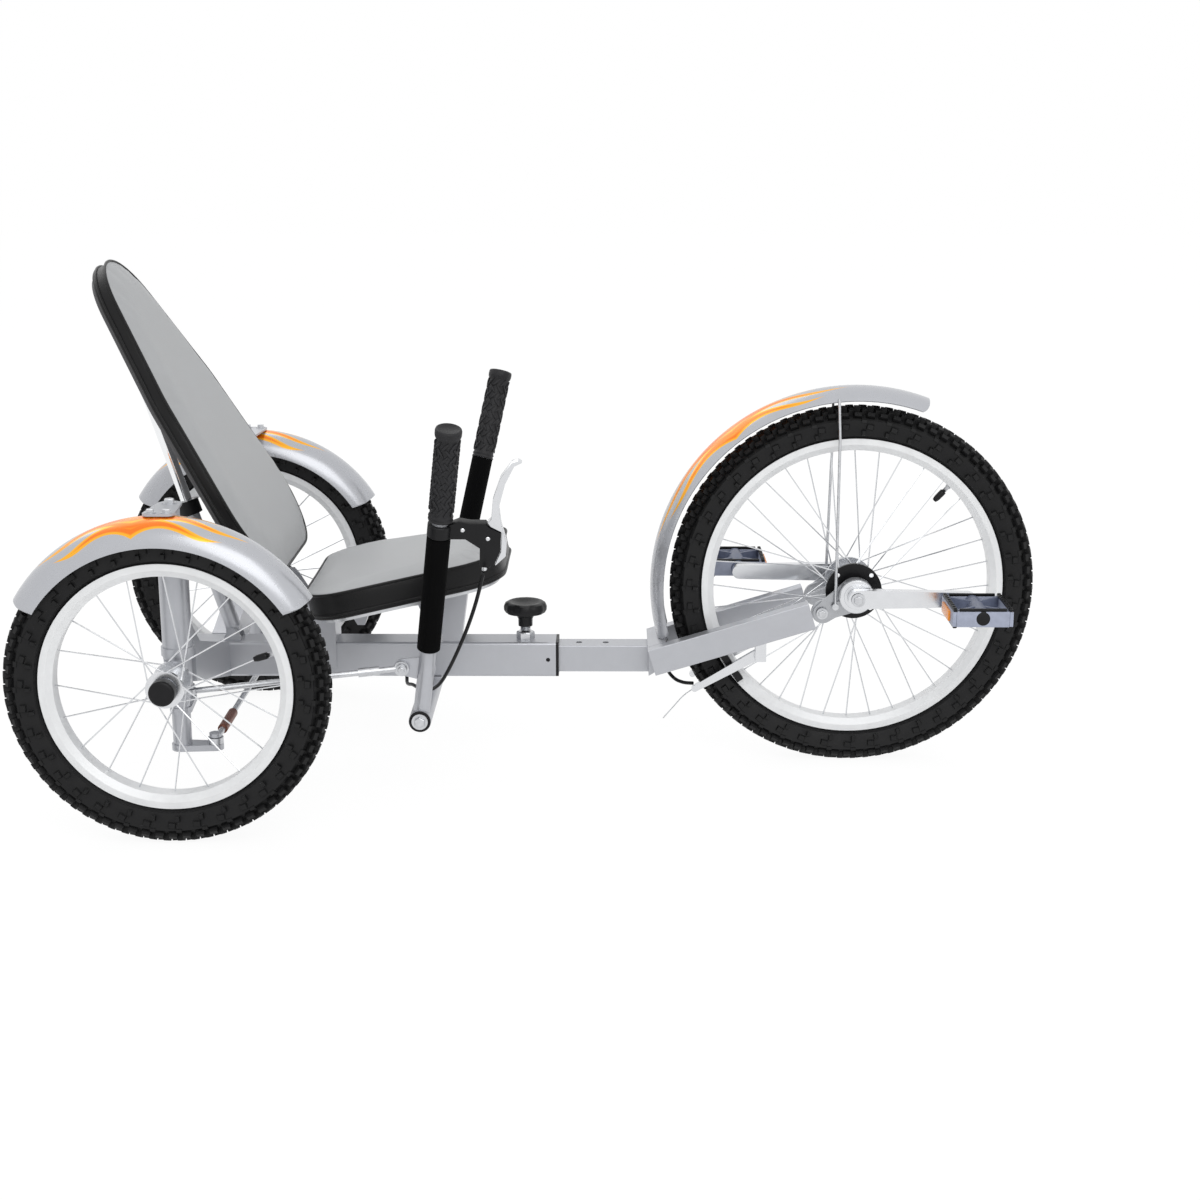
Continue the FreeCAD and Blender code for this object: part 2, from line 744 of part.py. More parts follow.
def front_cable():
    """The brake cable from under the crown to the right brake arm's tip."""
    crown_x, crown_z = arm_point(crown_depth * 0.6, -fork_arm_height / 2 - seat_gap)
    tip = V(brake_tip[0] - 2, -brake_arm_inner - brake_arm_thickness / 2, brake_tip[1] + brake_tip_radius + 3)
    start = V(crown_x, -12, crown_z)
    return cable([start, start + V(5, -1, -14), start + V(15, -8, -22), tip + V(-12, 5, -1), tip])


def cross_arm(side):
    """One sloped arm and its gusset, welded to the beam and to the kingpin's head tube."""
    y_beam, y_tube = -beam_size / 2, -kingpin_y
    half = arm_width / 2
    clear_y = y_tube + arm_clearance
    weld_y = y_tube + head_tube_radius - 4
    corners = [(y_beam, beam_bottom + 1), (clear_y, arm_outer_bottom), (clear_y, head_tube_bottom + 1),
               (weld_y, head_tube_bottom + 1), (weld_y, arm_outer_top), (y_beam, beam_top)]
    loop = [V(along(0) - half, y, z) for y, z in corners]
    arm = Part.Face(Part.makePolygon(loop + loop[:1])).extrude(V(arm_width, 0, 0))
    slope = (arm_outer_top - beam_top) / (weld_y - y_beam)
    start_y = -gusset_start
    rib = [(start_y, beam_top + slope * (start_y - y_beam) - 1), (weld_y, arm_outer_top - 1), (weld_y, gusset_top)]
    loop = [V(along(0) - gusset_thickness / 2, y, z) for y, z in rib]
    gusset = Part.Face(Part.makePolygon(loop + loop[:1])).extrude(V(gusset_thickness, 0, 0))
    heights = (head_tube_bottom, head_tube_top)
    tube = upright(along(0), y_tube, heights, head_tube_radius)
    cups = [upright(along(0), y_tube, (head_tube_bottom, head_tube_bottom + cup_height), cup_radius),
            upright(along(0), y_tube, (head_tube_top - cup_height, head_tube_top), cup_radius)]
    bore = upright(along(0), y_tube, heights, steerer_radius + running_gap)
    chamber_z = (head_tube_bottom + cup_height, head_tube_top - cup_height)
    chamber = upright(along(0), y_tube, chamber_z, head_tube_radius - head_tube_wall)
    return on_side(fused([arm, gusset, tube] + cups).cut(bore).cut(chamber), side)


def knuckle(side):
    """One kingpin with its axle, steering arms and the strap that carries the fender."""
    x, y, wheel_y = along(0), -kingpin_y, -track / 2
    strap_z = rear_tyre_radius + rear_fender_crown + seat_gap
    lower = upright(x, y, (knuckle_bottom, head_tube_bottom - thrust_gap), knuckle_tube_radius)
    steerer = upright(x, y, (head_tube_bottom - thrust_gap, strap_z + strap_thickness), steerer_radius)
    block_z = (rear_tyre_radius - axle_block_half_height, rear_tyre_radius + axle_block_half_height)
    block = level_belt([(x, y, axle_block_radius), (x, y - 6, axle_block_radius)][::-1], block_z)
    race = upright(x, y, (block_z[1], head_tube_bottom - thrust_gap), axle_block_radius + 2)
    nut = upright(x, y, (head_tube_top + thrust_gap, head_tube_top + 10), axle_block_radius)
    hub_face = wheel_y + rear_hub_half
    boss = across(x, rear_tyre_radius, (hub_face + thrust_gap, y), axle_block_half_height - 4)
    axle = across(x, rear_tyre_radius, (wheel_y - rear_hub_half - 6, hub_face + thrust_gap), axle_radius)
    strap = level_belt([(x, y, steerer_radius + 3), (x + strap_half_length - strap_end_radius, wheel_y, strap_end_radius),
                        (x - strap_half_length + strap_end_radius, wheel_y, strap_end_radius)][::-1], (strap_z, strap_z + strap_thickness))
    forward = level_belt([(x, y, arm_root_radius), (x + steer_arm_reach, y, arm_tip_radius)],
                         (knuckle_bottom, knuckle_bottom + arm_plate_thickness))
    inboard = level_belt([(x, y, arm_root_radius), (x, y + drag_arm_reach, arm_tip_radius)],
                         (drag_arm_bottom, drag_arm_bottom + arm_plate_thickness))
    studs = []
    for stud_x, stud_y, plate_z in ((x + steer_arm_reach, y, knuckle_bottom),
                                    (x, y + drag_arm_reach, drag_arm_bottom)):
        base = plate_z + arm_plate_thickness
        studs.append(upright(stud_x, stud_y, (base, base + eye_height + 6), stud_radius))
        studs.append(upright(stud_x, stud_y, (base + eye_height + 1, base + eye_height + 6), stud_radius + 3))
    return on_side(fused([lower, steerer, block, race, nut, boss, axle, strap, forward, inboard] + studs), side)


def rear_fender(side):
    """One rear fender, carried by the knuckle's strap."""
    centre = V(along(0), -track / 2, rear_tyre_radius)
    return on_side(fender(centre, rear_fender_half_width, rear_fender_edge, rear_fender_crown,
                          rear_fender_from, rear_fender_to), side)


def rear_hub(side):
    """One rear hub with its spokes and black end cap."""
    centre = V(along(0), -track / 2, rear_tyre_radius)
    hub = spoked_hub(centre, rear_spokes, rear_flange_radius, rear_flange_offset, rear_shell_radius,
                     rear_hub_half, axle_radius + running_gap, rear_rim_radius)
    outer = centre.y - rear_hub_half
    cap = across(centre.x, centre.z, (centre.y - hub_cap_reach, outer), hub_cap_radius)
    well = across(centre.x, centre.z, (outer - 8, outer), axle_radius + 2)
    rims = [edge for edge in cap.Edges if abs(edge.Length - 2 * math.pi * hub_cap_radius) < 1e-3
            and edge.BoundBox.YMax < outer - 1]
    return on_side(fused([hub, cap.makeFillet(4, rims).cut(well)]), side)


def tie_rod():
    """The rod that ties the two forward steering arms, with its adjusting sleeve."""
    x = along(steer_arm_reach)
    base = knuckle_bottom + arm_plate_thickness + thrust_gap
    heights = (base, base + eye_height)
    middle = base + eye_height / 2
    bar = across(x, middle, (-kingpin_y + eye_radius - 2, kingpin_y - eye_radius + 2), tie_rod_radius - 2)
    sleeve_end = -kingpin_y + 45
    sleeve = across(x, middle, (sleeve_end, sleeve_end + tie_sleeve_length), tie_sleeve_radius - 2)
    shape = [bar, sleeve]
    shape += [upright(x, side * kingpin_y, heights, eye_radius) for side in (-1, 1)]
    whole = fused(shape)
    for side in (-1, 1):
        whole = whole.cut(upright(x, side * kingpin_y, heights, stud_radius + running_gap))
    return whole


eye_place = V(along(lever_place - lever_eye_back), -lever_offset, lever_pivot_height + lever_eye_rise)


def drag_rod(side):
    """The rod from a knuckle's inboard arm to its steering lever, with its adjusting nuts."""
    base = drag_arm_bottom + arm_plate_thickness + thrust_gap
    ball = V(along(0), -kingpin_y + drag_arm_reach, base + eye_height / 2)
    near_eye = upright(ball.x, ball.y, (base, base + eye_height), eye_radius)
    eye_y = (-lever_offset - seat_gap - eye_height, -lever_offset - seat_gap)
    far_eye = across(eye_place.x, eye_place.z, eye_y, eye_radius)
    head = across(eye_place.x, eye_place.z, (eye_y[0] - 4, eye_y[0]), eye_radius - 4)
    end = V(eye_place.x, (eye_y[0] + eye_y[1]) / 2, eye_place.z)
    way = (end - ball).normalize()
    length = (end - ball).Length
    bar = rod(ball + way * (eye_radius - 2), end - way * (eye_radius - 2), 4)
    nut = rod(ball + way * (length - 58), ball + way * (length - 30), 6)
    whole = fused([near_eye, far_eye, head, bar, nut])
    hole = upright(ball.x, ball.y, (base, base + eye_height), stud_radius + running_gap)
    return on_side(whole.cut(hole), side)


def lever_crossbar():
    """The bar under the beam that carries both lever pivots."""
    x = along(lever_place)
    face = lever_offset - lever_boss_half - thrust_gap
    bar = across(x, lever_pivot_height, (-face, face), crossbar_radius)
    tip = lever_offset + lever_boss_half + 2
    pins = across(x, lever_pivot_height, (-tip, tip), lever_pin_radius)
    saddle = side_plate([(x - 12, lever_pivot_height), (x + 12, lever_pivot_height),
                         (x + 16, beam_bottom), (x - 16, beam_bottom)], (-beam_size / 2, beam_size / 2))
    return fused([bar, pins, saddle])


lever_splay = math.atan2(lever_top_offset - lever_offset, lever_top_height - lever_bend_height)


def lever_point(height, side="right"):
    """A place on a lever's middle line at a height, as if it were on the right."""
    x = along(lever_place) + (height - lever_pivot_height) * math.tan(math.radians(lever_lean[side]))
    above = max(height - lever_bend_height, 0)
    return V(x, -lever_offset - above * math.tan(lever_splay), height)


def lever_tube(side):
    """One steering lever with its pivot boss and the tab for the drag rod."""
    x = along(lever_place)
    boss_y = (-lever_offset - lever_boss_half, -lever_offset + lever_boss_half)
    boss = across(x, lever_pivot_height, boss_y, lever_boss_radius)
    route = [lever_point(height, side) for height in (lever_pivot_height + 5, lever_bend_height, lever_top_height - 4)]
    bar = bent_tube(route, lever_tube_radius, lever_bend_radius)
    tube_x = lever_point(eye_place.z, side).x
    tab = side_belt([(eye_place.x, eye_place.z, tab_radius), (tube_x - 4, eye_place.z - 2, tab_radius + 5)],
                    (-lever_offset, -lever_offset + tab_thickness))
    bore = across(x, lever_pivot_height, boss_y, lever_pin_radius + running_gap)
    return on_side(fused([boss, bar, tab]).cut(bore), side)


def sleeve(side, heights, radius, closed):
    """A soft sleeve round a steering lever, closed over its end or open."""
    low, high = lever_point(heights[0], side), lever_point(heights[1], side)
    outer = rod(low, high, radius)
    end = lever_point(lever_top_height - 4 + seat_gap, side) if closed else high
    return on_side(outer.cut(rod(low, end, lever_tube_radius + running_gap)), side)


def brake_lever():
    """The brake lever's clamp, black body and silver blade on the right steering lever."""
    axis = lever_point(clamp_height + clamp_half) - lever_point(clamp_height - clamp_half)
    axis.normalize()
    low, high = lever_point(clamp_height - clamp_half), lever_point(clamp_height + clamp_half)
    ring = rod(low, high, clamp_radius).cut(rod(low, high, lever_tube_radius + running_gap))
    outward = V(0, -axis.z, axis.y)
    outward.normalize()
    zero = lever_point(clamp_height)

    def slab(outline, width):
        corners = [zero + V(ahead, 0, 0) + V(0, axis.y, axis.z) * up - outward * (width / 2)
                   for ahead, up in outline]
        return Part.Face(Part.makePolygon(corners + corners[:1])).extrude(outward * width)

    body = slab([(11, -9), (30, -10), (45, -16), (49, -56), (62, -56), (78, -18), (68, -4), (46, 5), (30, 9),
                 (11, 9)], brake_body_width)
    bore = rod(lever_point(clamp_height - 60), lever_point(clamp_height + 60), lever_tube_radius + running_gap)
    body = fused([ring, body]).cut(bore)
    blade = slab([(30, 9.4), (46, 5.4), (68, -3.5), (80, 10), (92, 30), (102, 58), (108, 94), (103, 95),
                  (96, 60), (86, 34), (76, 17), (68, 9), (50, 14), (32, 17)], brake_blade_width)
    return Part.Compound([body, blade])


def brake_cable():
    """The brake cable from the brake lever's barrel, past the lever's foot, to the beam's underside."""
    top = lever_point(clamp_height) + V(55, 0, 0)
    start = V(top.x, lever_point(clamp_height - 57).y, clamp_height - 57 - seat_gap)
    route = [start, V(along(384), -213, 296), V(along(372), -207, 258), V(along(357), -196, 220),
             V(along(341), -179, 184), V(along(325), -155, 153), V(along(308), -128, 137),
             V(along(291), -98, 131), V(along(279), -68, 128), V(along(270), -41, 119.5),
             V(along(265), -15, 115.5), V(along(264), 2, beam_bottom - cable_radius)]
    return cable(route)


seat_ahead = V(math.cos(math.radians(seat_slope)), 0, math.sin(math.radians(seat_slope)))
seat_up = V(-seat_ahead.z, 0, seat_ahead.x)
seat_zero = V(along(seat_place), 0, seat_height)


def seat_slab(inset, depth_from, depth_to):
    """A slab with the seat's outline, between two depths under its top."""
    rear_a, rear_b, rear_r = seat_rear_circle
    nose_a, nose_b, nose_r = seat_nose_circle
    circles = [(nose_a, -nose_b, nose_r - inset), (nose_a, nose_b, nose_r - inset),
               (rear_a, rear_b, rear_r - inset), (rear_a, -rear_b, rear_r - inset)]
    top = seat_zero - seat_up * depth_from
    return belt(circles, lambda a, b: top + seat_ahead * a + V(0, b, 0), seat_up * (depth_from - depth_to))


def rounded_rims(slab, normal, radius):
    """The slab with the edges of its two broad faces rounded."""
    flat = [face for face in slab.Faces if abs(abs(face.normalAt(0, 0).dot(normal)) - 1) < 1e-6]
    edges = [edge for face in flat for edge in face.Edges]
    return slab.makeFillet(radius, edges)


def pan_height(place):
    """The height of the seat pan's underside at a place ahead of the rear axle."""
    under = seat_zero - seat_up * (seat_thickness + pan_thickness)
    return under.z + (along(place) - under.x) * seat_ahead.z / seat_ahead.x


def seat_bracket(foot, head):
    """A folded bracket of channel section from the beam's top to the pan's underside."""
    rear, front = foot
    outline = [(along(rear), beam_top), (along(front), beam_top), (along(head[1]), pan_height(head[1])),
               (along(head[0]), pan_height(head[0]))]
    solid = side_plate(outline, (-bracket_half_width, bracket_half_width))
    middle = (along(rear) + along(front)) / 2
    inner_half = bracket_half_width - bracket_wall
    room = box((middle - 500, along(front) - bracket_wall - 2), (-inner_half, inner_half),
               (beam_top, beam_top + 400))
    return solid.cut(room)


def seat_supports():
    """The front leg, the rear bracket with the backrest's hinge pin, the gusset and the stay's foot."""
    leg = seat_bracket(leg_foot, leg_head)
    hinge_x, hinge_z = along(hinge_place), hinge_height
    rear, front = rear_bracket_place
    outline = [(along(rear), beam_top - rear_bracket_drop), (along(front), beam_top - rear_bracket_drop),
               (along(front), pan_height(front)), (along(front - 16), pan_height(front - 16)),
               (along(front - 34), pan_height(front) - 4), (hinge_x + 12, hinge_z + 4), (hinge_x + 6, hinge_z + 11),
               (hinge_x - 7, hinge_z + 11), (hinge_x - 13, hinge_z + 4), (hinge_x - 11, hinge_z - 14),
               (along(rear), beam_top + 26)]
    outer = rear_bracket_inner + rear_bracket_thickness
    plates = [side_plate(outline, (side * rear_bracket_inner, side * outer)) for side in (-1, 1)]
    web = box((along(front) - rear_bracket_thickness, along(front)), (-outer, outer),
              (beam_top, pan_height(front - rear_bracket_thickness)))
    reach = outer + ear_gap + ear_thickness + 3
    pin = across(hinge_x, hinge_z, (-reach, reach), hinge_pin_radius)
    hinge = fused(plates + [web, pin])
    start, end = gusset_place
    gusset = side_plate([(along(start), pan_height(start)), (along(start + 20), pan_height(start) - gusset_drop),
                         (along(start + 30), pan_height(start) - gusset_drop), (along(end), pan_height(end))],
                        (-gusset_half_width, gusset_half_width))
    foot_x, foot_z = along(stay_foot_place), beam_top + stay_foot_rise
    lugs = []
    lug_inner = stay_outer_radius + clevis_gap
    for side in (-1, 1):
        lugs.append(side_belt([(foot_x, foot_z, 8), (foot_x + 8, beam_top + 4, 4), (foot_x - 8, beam_top + 4, 4)][::-1],
                              (side * lug_inner, side * (lug_inner + clevis_ear))))
    base = box((foot_x - 12, foot_x + 12), (-lug_inner - clevis_ear, lug_inner + clevis_ear),
               (beam_top, beam_top + 2))
    lug_pin = across(foot_x, foot_z + 3, (-lug_inner - clevis_ear, lug_inner + clevis_ear), stay_pin_radius)
    foot = fused(lugs + [base, lug_pin])
    return Part.Compound([leg, hinge, gusset, foot])


back_up = V(-math.sin(math.radians(back_recline)), 0, math.cos(math.radians(back_recline)))
back_out = V(back_up.z, 0, -back_up.x)
back_zero = V(along(back_place), 0, back_height)


def back_slab(inset, depth_from, depth_to):
    """A slab with the backrest's outline, between two depths behind its face."""
    low_b, low_a, low_r = back_low_circle
    waist_b, waist_a, waist_r = back_waist_circle
    top_b, top_r = back_top_circle
    circles = [(-low_a, low_b, low_r - inset), (low_a, low_b, low_r - inset), (waist_a, waist_b, waist_r - inset),
               (0, top_b, top_r - inset), (-waist_a, waist_b, waist_r - inset)]
    face = back_zero - back_out * depth_from
    return belt(circles, lambda a, b: face + V(0, a, 0) + back_up * b, back_out * (depth_from - depth_to))


def back_point(up, out):
    """A place (x, z) beside the backrest, up its face and out from it."""
    point = back_zero + back_up * up + back_out * out
    return point.x, point.z


stay_foot = V(along(stay_foot_place), 0, beam_top + stay_foot_rise + 3)
stay_way = V(-math.sin(math.radians(stay_lean)), 0, math.cos(math.radians(stay_lean)))
stay_top = stay_foot + stay_way * stay_length


def back_panel():
    """The board behind the backrest pad, with its hinge ears and the clevis for the stay."""
    board = back_slab(back_panel_inset, back_thickness, back_thickness + back_panel_thickness)
    rear = -back_thickness - back_panel_thickness
    hinge_x, hinge_z = along(hinge_place), hinge_height
    ear_y = rear_bracket_inner + rear_bracket_thickness + ear_gap
    outline = [back_point(-150, rear + 1), back_point(-150, rear - 14), back_point(-238, rear - 17),
               (hinge_x - 11, hinge_z - 4), (hinge_x - 4, hinge_z - 11), (hinge_x + 7, hinge_z - 8),
               (hinge_x + 11, hinge_z + 1), (hinge_x + 5, hinge_z + 10), back_point(-250, rear + 4),
               back_point(-236, rear + 1)]
    shapes = [board]
    for side in (-1, 1):
        shapes.append(side_plate(outline, (side * ear_y, side * (ear_y + ear_thickness))))
    inner = stay_inner_radius + clevis_gap
    level = (stay_top - back_zero).dot(back_up)
    low, high = back_point(level - clevis_reach, rear + 1), back_point(level + clevis_reach, rear + 1)
    for side in (-1, 1):
        ear = side_plate([low, high, (stay_top.x - 7, stay_top.z + 7), (stay_top.x - 7, stay_top.z - 7)],
                         (side * inner, side * (inner + clevis_ear)))
        shapes.append(ear)
    shapes.append(across(stay_top.x, stay_top.z, (-inner - clevis_ear, inner + clevis_ear), stay_pin_radius))
    whole = fused(shapes)
    bore_reach = ear_y + 2 * ear_thickness
    return whole.cut(across(hinge_x, hinge_z, (-bore_reach, bore_reach), hinge_pin_radius + running_gap))


def stay_tube():
    """The stay's lower tube, with the eye at its foot."""
    end = stay_foot + stay_way * stay_lower_length
    outer = rod(stay_foot + stay_way * 4, end, stay_outer_radius)
    half = stay_outer_radius - stay_eye_relief
    eye = across(stay_foot.x, stay_foot.z, (-half, half), stay_eye_radius)
    bore = rod(stay_foot + stay_way * 22, end, stay_inner_radius + running_gap)
    hole = across(stay_foot.x, stay_foot.z, (-2 * stay_outer_radius, 2 * stay_outer_radius),
                  stay_pin_radius + running_gap)
    return fused([outer, eye]).cut(bore).cut(hole)


def stay_collar():
    """The black clamp collar round the top of the stay's lower tube."""
    end = stay_foot + stay_way * stay_lower_length
    start = end - stay_way * collar_height
    ring = rod(start, end, collar_radius).cut(rod(start, end, stay_outer_radius + running_gap))
    middle = start + stay_way * (collar_height / 2)
    ahead = V(stay_way.z, 0, -stay_way.x)
    lug = rod(middle - ahead * (collar_radius - 2) - V(0, 11, 0), middle - ahead * (collar_radius - 2) + V(0, 11, 0), 6)
    return fused([ring, lug.cut(rod(start, end, stay_outer_radius + running_gap))])


def stay_rod():
    """The stay's sliding upper tube, with its loose eye at the backrest."""
    bar = rod(stay_foot + stay_way * stay_insert_from, stay_top, stay_inner_radius)
    half = stay_inner_radius - stay_eye_relief
    eye = across(stay_top.x, stay_top.z, (-half, half), stay_eye_radius)
    hole = across(stay_top.x, stay_top.z, (-2 * stay_inner_radius, 2 * stay_inner_radius),
                  stay_pin_radius + stay_pin_play)
    return fused([bar, eye]).cut(hole)


def build():
    """Every node by its name."""
    nodes = {
        "main_beam": main_beam(), "beam_liner": beam_liner(), "lock_knob": lock_knob(),
        "lever_crossbar": lever_crossbar(), "seat_supports": seat_supports(),
        "seat_pan": seat_slab(pan_inset, seat_thickness, seat_thickness + pan_thickness),
        "seat_pad": rounded_rims(seat_slab(0, 0, seat_thickness), seat_up, pad_round),
        "back_panel": back_panel(),
        "back_pad": rounded_rims(back_slab(0, 0, back_thickness), back_out, pad_round),
        "stay_tube": stay_tube(), "stay_collar": stay_collar(), "stay_rod": stay_rod(),
        "inner_beam": inner_beam(), "fork_crown": fork_crown(), "fork_arms": fork_arms(),
        "axle_carriers": axle_carriers(), "front_fender": front_fender(), "fender_stays": fender_stays(),
        "brake_arms": brake_arms(), "brake_shoes": brake_shoes(), "front_cable": front_cable(),
        "front_tyre": tyre(front_axle, front_tyre_radius, front_rim_radius),
        "front_rim": rim(front_axle, front_rim_radius),
        "front_hub": spoked_hub(front_axle, front_spokes, front_flange_radius, front_flange_offset,
                                front_shell_radius, front_hub_half, spindle_radius + running_gap,
                                front_rim_radius),
        "drive_disc": drive_disc(), "crank_spindle": crank_spindle(), "crank_arms": crank_arms(),
        "tie_rod": tie_rod(), "brake_lever": brake_lever(), "brake_cable": brake_cable(),
    }
    rear_centre = V(along(0), -track / 2, rear_tyre_radius)
    for side in SIDES:
        nodes["pedal_" + side] = pedal(side)
        nodes["cross_arm_" + side] = cross_arm(side)
        nodes["knuckle_" + side] = knuckle(side)
        nodes["rear_fender_" + side] = rear_fender(side)
        nodes["rear_tyre_" + side] = on_side(tyre(rear_centre, rear_tyre_radius, rear_rim_radius), side)
        nodes["rear_rim_" + side] = on_side(rim(rear_centre, rear_rim_radius), side)
        nodes["rear_hub_" + side] = rear_hub(side)
        nodes["drag_rod_" + side] = drag_rod(side)
        nodes["lever_tube_" + side] = lever_tube(side)
        nodes["lever_foam_" + side] = sleeve(side, (foam_from, foam_to[side]), foam_radius, False)
        nodes["lever_grip_" + side] = sleeve(side, (grip_from, lever_top_height), grip_radius, True)
    return nodes


os.makedirs("parts", exist_ok=True)
for name, shape in build().items():
    if not shape.isValid():
        print("invalid shape", name)
    print(name, len(shape.Solids), "solids", round(shape.Volume / 1000, 1), "cm3")
    shape.exportStep("parts/" + name + ".step")
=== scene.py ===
"""Finishes and detail pieces for a recumbent cruiser tricycle, laid out as an add-on."""
import math

import bmesh
import bpy
from bpy.props import FloatProperty, FloatVectorProperty, IntProperty, PointerProperty
from mathutils import Matrix, Vector


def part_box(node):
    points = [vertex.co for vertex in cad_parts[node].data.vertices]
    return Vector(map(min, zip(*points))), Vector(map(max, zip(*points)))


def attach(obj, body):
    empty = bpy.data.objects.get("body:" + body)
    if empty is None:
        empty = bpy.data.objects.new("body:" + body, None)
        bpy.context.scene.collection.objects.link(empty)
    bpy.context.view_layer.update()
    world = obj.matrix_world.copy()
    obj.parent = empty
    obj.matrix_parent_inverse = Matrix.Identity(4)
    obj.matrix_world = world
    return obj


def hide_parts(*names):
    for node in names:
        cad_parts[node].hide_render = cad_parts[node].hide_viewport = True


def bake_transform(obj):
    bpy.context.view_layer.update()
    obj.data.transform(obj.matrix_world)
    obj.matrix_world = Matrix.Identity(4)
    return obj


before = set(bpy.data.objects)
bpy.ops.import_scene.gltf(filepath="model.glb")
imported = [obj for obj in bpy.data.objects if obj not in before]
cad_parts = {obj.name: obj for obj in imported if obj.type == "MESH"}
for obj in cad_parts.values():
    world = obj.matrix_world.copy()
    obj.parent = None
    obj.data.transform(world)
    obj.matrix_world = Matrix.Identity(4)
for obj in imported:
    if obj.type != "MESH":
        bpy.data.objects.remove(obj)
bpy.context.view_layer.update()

bl_info = {
    "name": "Recumbent tricycle finishes",
    "version": (1, 0, 0),
    "blender": (4, 5, 0),
    "location": "View3D > Sidebar > Tricycle",
    "description": "Dresses the packed tricycle with finishes, treaded tyres, padded seat and small parts",
    "category": "Object",
}

SIDES = {"right": -1, "left": 1}

# Lines and planes of the frame, in metres
FRONT_AXLE = (Vector(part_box("front_tyre")[0]) + Vector(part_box("front_tyre")[1])) / 2
REAR_AXLE_X = (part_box("rear_tyre_right")[0][0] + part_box("rear_tyre_right")[1][0]) / 2
WHEELS = {"front": "front_wheel", "rear_right": "rear_wheel_right", "rear_left": "rear_wheel_left"}
TYRES = {"front": "front_tyre", "rear_right": "rear_tyre_right", "rear_left": "rear_tyre_left"}
RIMS = {"front": "front_rim", "rear_right": "rear_rim_right", "rear_left": "rear_rim_left"}
LEVER_FOOT = Vector((-0.172, 0.170, 0.111))
LEVER_BEND = 0.190
LEVER_RUN = {"right": math.tan(math.radians(7.5)), "left": math.tan(math.radians(12.2))}
LEVER_SPLAY = 0.100 / 0.331
GRIP_FOOT = {"right": 0.3978, "left": 0.3942}
GRIP_TOP = 0.521
BACK_FACE = Vector((-0.4686, 0, 0.500))
BACK_WAY = Vector((math.cos(math.radians(30.4)), 0, math.sin(math.radians(30.4))))
BACK_DEPTH = 0.030
SEAT_FACE = Vector((-0.222, 0, 0.297))
SEAT_WAY = Vector((-math.sin(math.radians(10.9)), 0, math.cos(math.radians(10.9))))
SEAT_DEPTH = 0.044
CRANK_LENGTH = 0.152
PEDAL_MIDDLE = 0.143
BEARING_END = 0.0701
FOOT_RING = 0.1845
KNOB_FOOT = Vector((-0.0375, 0, 0.176))
CLAMP_HEIGHT = 0.384
REAR_CROWN = Vector((REAR_AXLE_X, 0.325, 0.205))
BRAKE_WIRE = [(0.203, -0.0365, 0.114), (0.188, -0.037, 0.105), (0.174, -0.038, 0.088), (0.158, -0.037, 0.069)]
BRAKE_CABLE = [(-0.0810, -0.2274, 0.3267), (-0.0880, -0.2130, 0.2960), (-0.1000, -0.2070, 0.2580),
               (-0.1150, -0.1960, 0.2200), (-0.1310, -0.1790, 0.1840), (-0.1470, -0.1550, 0.1530),
               (-0.1640, -0.1280, 0.1370), (-0.1810, -0.0980, 0.1310), (-0.1930, -0.0680, 0.1280),
               (-0.2020, -0.0410, 0.1195), (-0.2070, -0.0150, 0.1155), (-0.2080, 0.0020, 0.1235)]


def colour(name, text, default):
    """A colour setting."""
    return FloatVectorProperty(name=name, description=text, default=default, subtype="COLOR", min=0, max=1)


def length(name, text, default):
    """A length setting in metres."""
    return FloatProperty(name=name, description=text, default=default, unit="LENGTH", min=0)


class TrikeSizes(bpy.types.PropertyGroup):
    """Sizes that a user would change."""
    tread_pitch: length("Tread pitch", "Distance between the tyres' knobs round the wheel", 0.0185)
    knob_height: length("Knob height", "Height of the tyres' knobs over the casing", 0.0065)
    piping_radius: length("Piping radius", "Radius of the piping round both pads", 0.0019)
    pad_draw: length("Pad draw", "How far the sides are drawn in between the seams", 0.0012)
    pad_swell: length("Pad swell", "How far the covers may swell", 0.006)
    cable_radius: length("Cable radius", "Radius of the cable housings", 0.0025)
    grip_ribs: IntProperty(name="Grip ribs", description="Raised ribs round each grip", default=9, min=3)


class TrikeColours(bpy.types.PropertyGroup):
    """Colours that a user would change."""
    silver: colour("Frame paint", "Silver paint of the frame and fenders", (0.47, 0.48, 0.51))
    flame_core: colour("Flame core", "Inner colour of the fender flames", (0.95, 0.20, 0.0))
    flame_edge: colour("Flame edge", "Outer colour of the fender flames", (1.0, 0.47, 0.015))
    pad_face: colour("Pad face", "Vinyl on the faces of both pads", (0.40, 0.41, 0.42))
    pad_side: colour("Pad side", "Vinyl on the sides of both pads", (0.004, 0.004, 0.0045))
    tyre: colour("Tyre rubber", "Rubber of the tyres", (0.0035, 0.0035, 0.004))
    rim: colour("Rim paint", "Paint of the rims", (0.80, 0.81, 0.82))


def link(tree, value, socket):
    """Puts a number or another socket's value into a socket."""
    if isinstance(value, (int, float)):
        socket.default_value = value
    else:
        tree.links.new(value, socket)


def calc(tree, operation, *values):
    """The output of a Math node."""
    node = tree.nodes.new("ShaderNodeMath")
    node.operation = operation
    for value, socket in zip(values, node.inputs):
        link(tree, value, socket)
    return node.outputs[0]


def ramp(tree, factor, stops):
    """The output of a colour ramp over (place, colour) stops."""
    node = tree.nodes.new("ShaderNodeValToRGB")
    elements = node.color_ramp.elements
    while len(elements) < len(stops):
        elements.new(0.5)
    for element, (place, shade) in zip(elements, stops):
        element.position = place
        element.color = (*shade, 1)
    link(tree, factor, node.inputs["Fac"])
    return node.outputs["Color"]


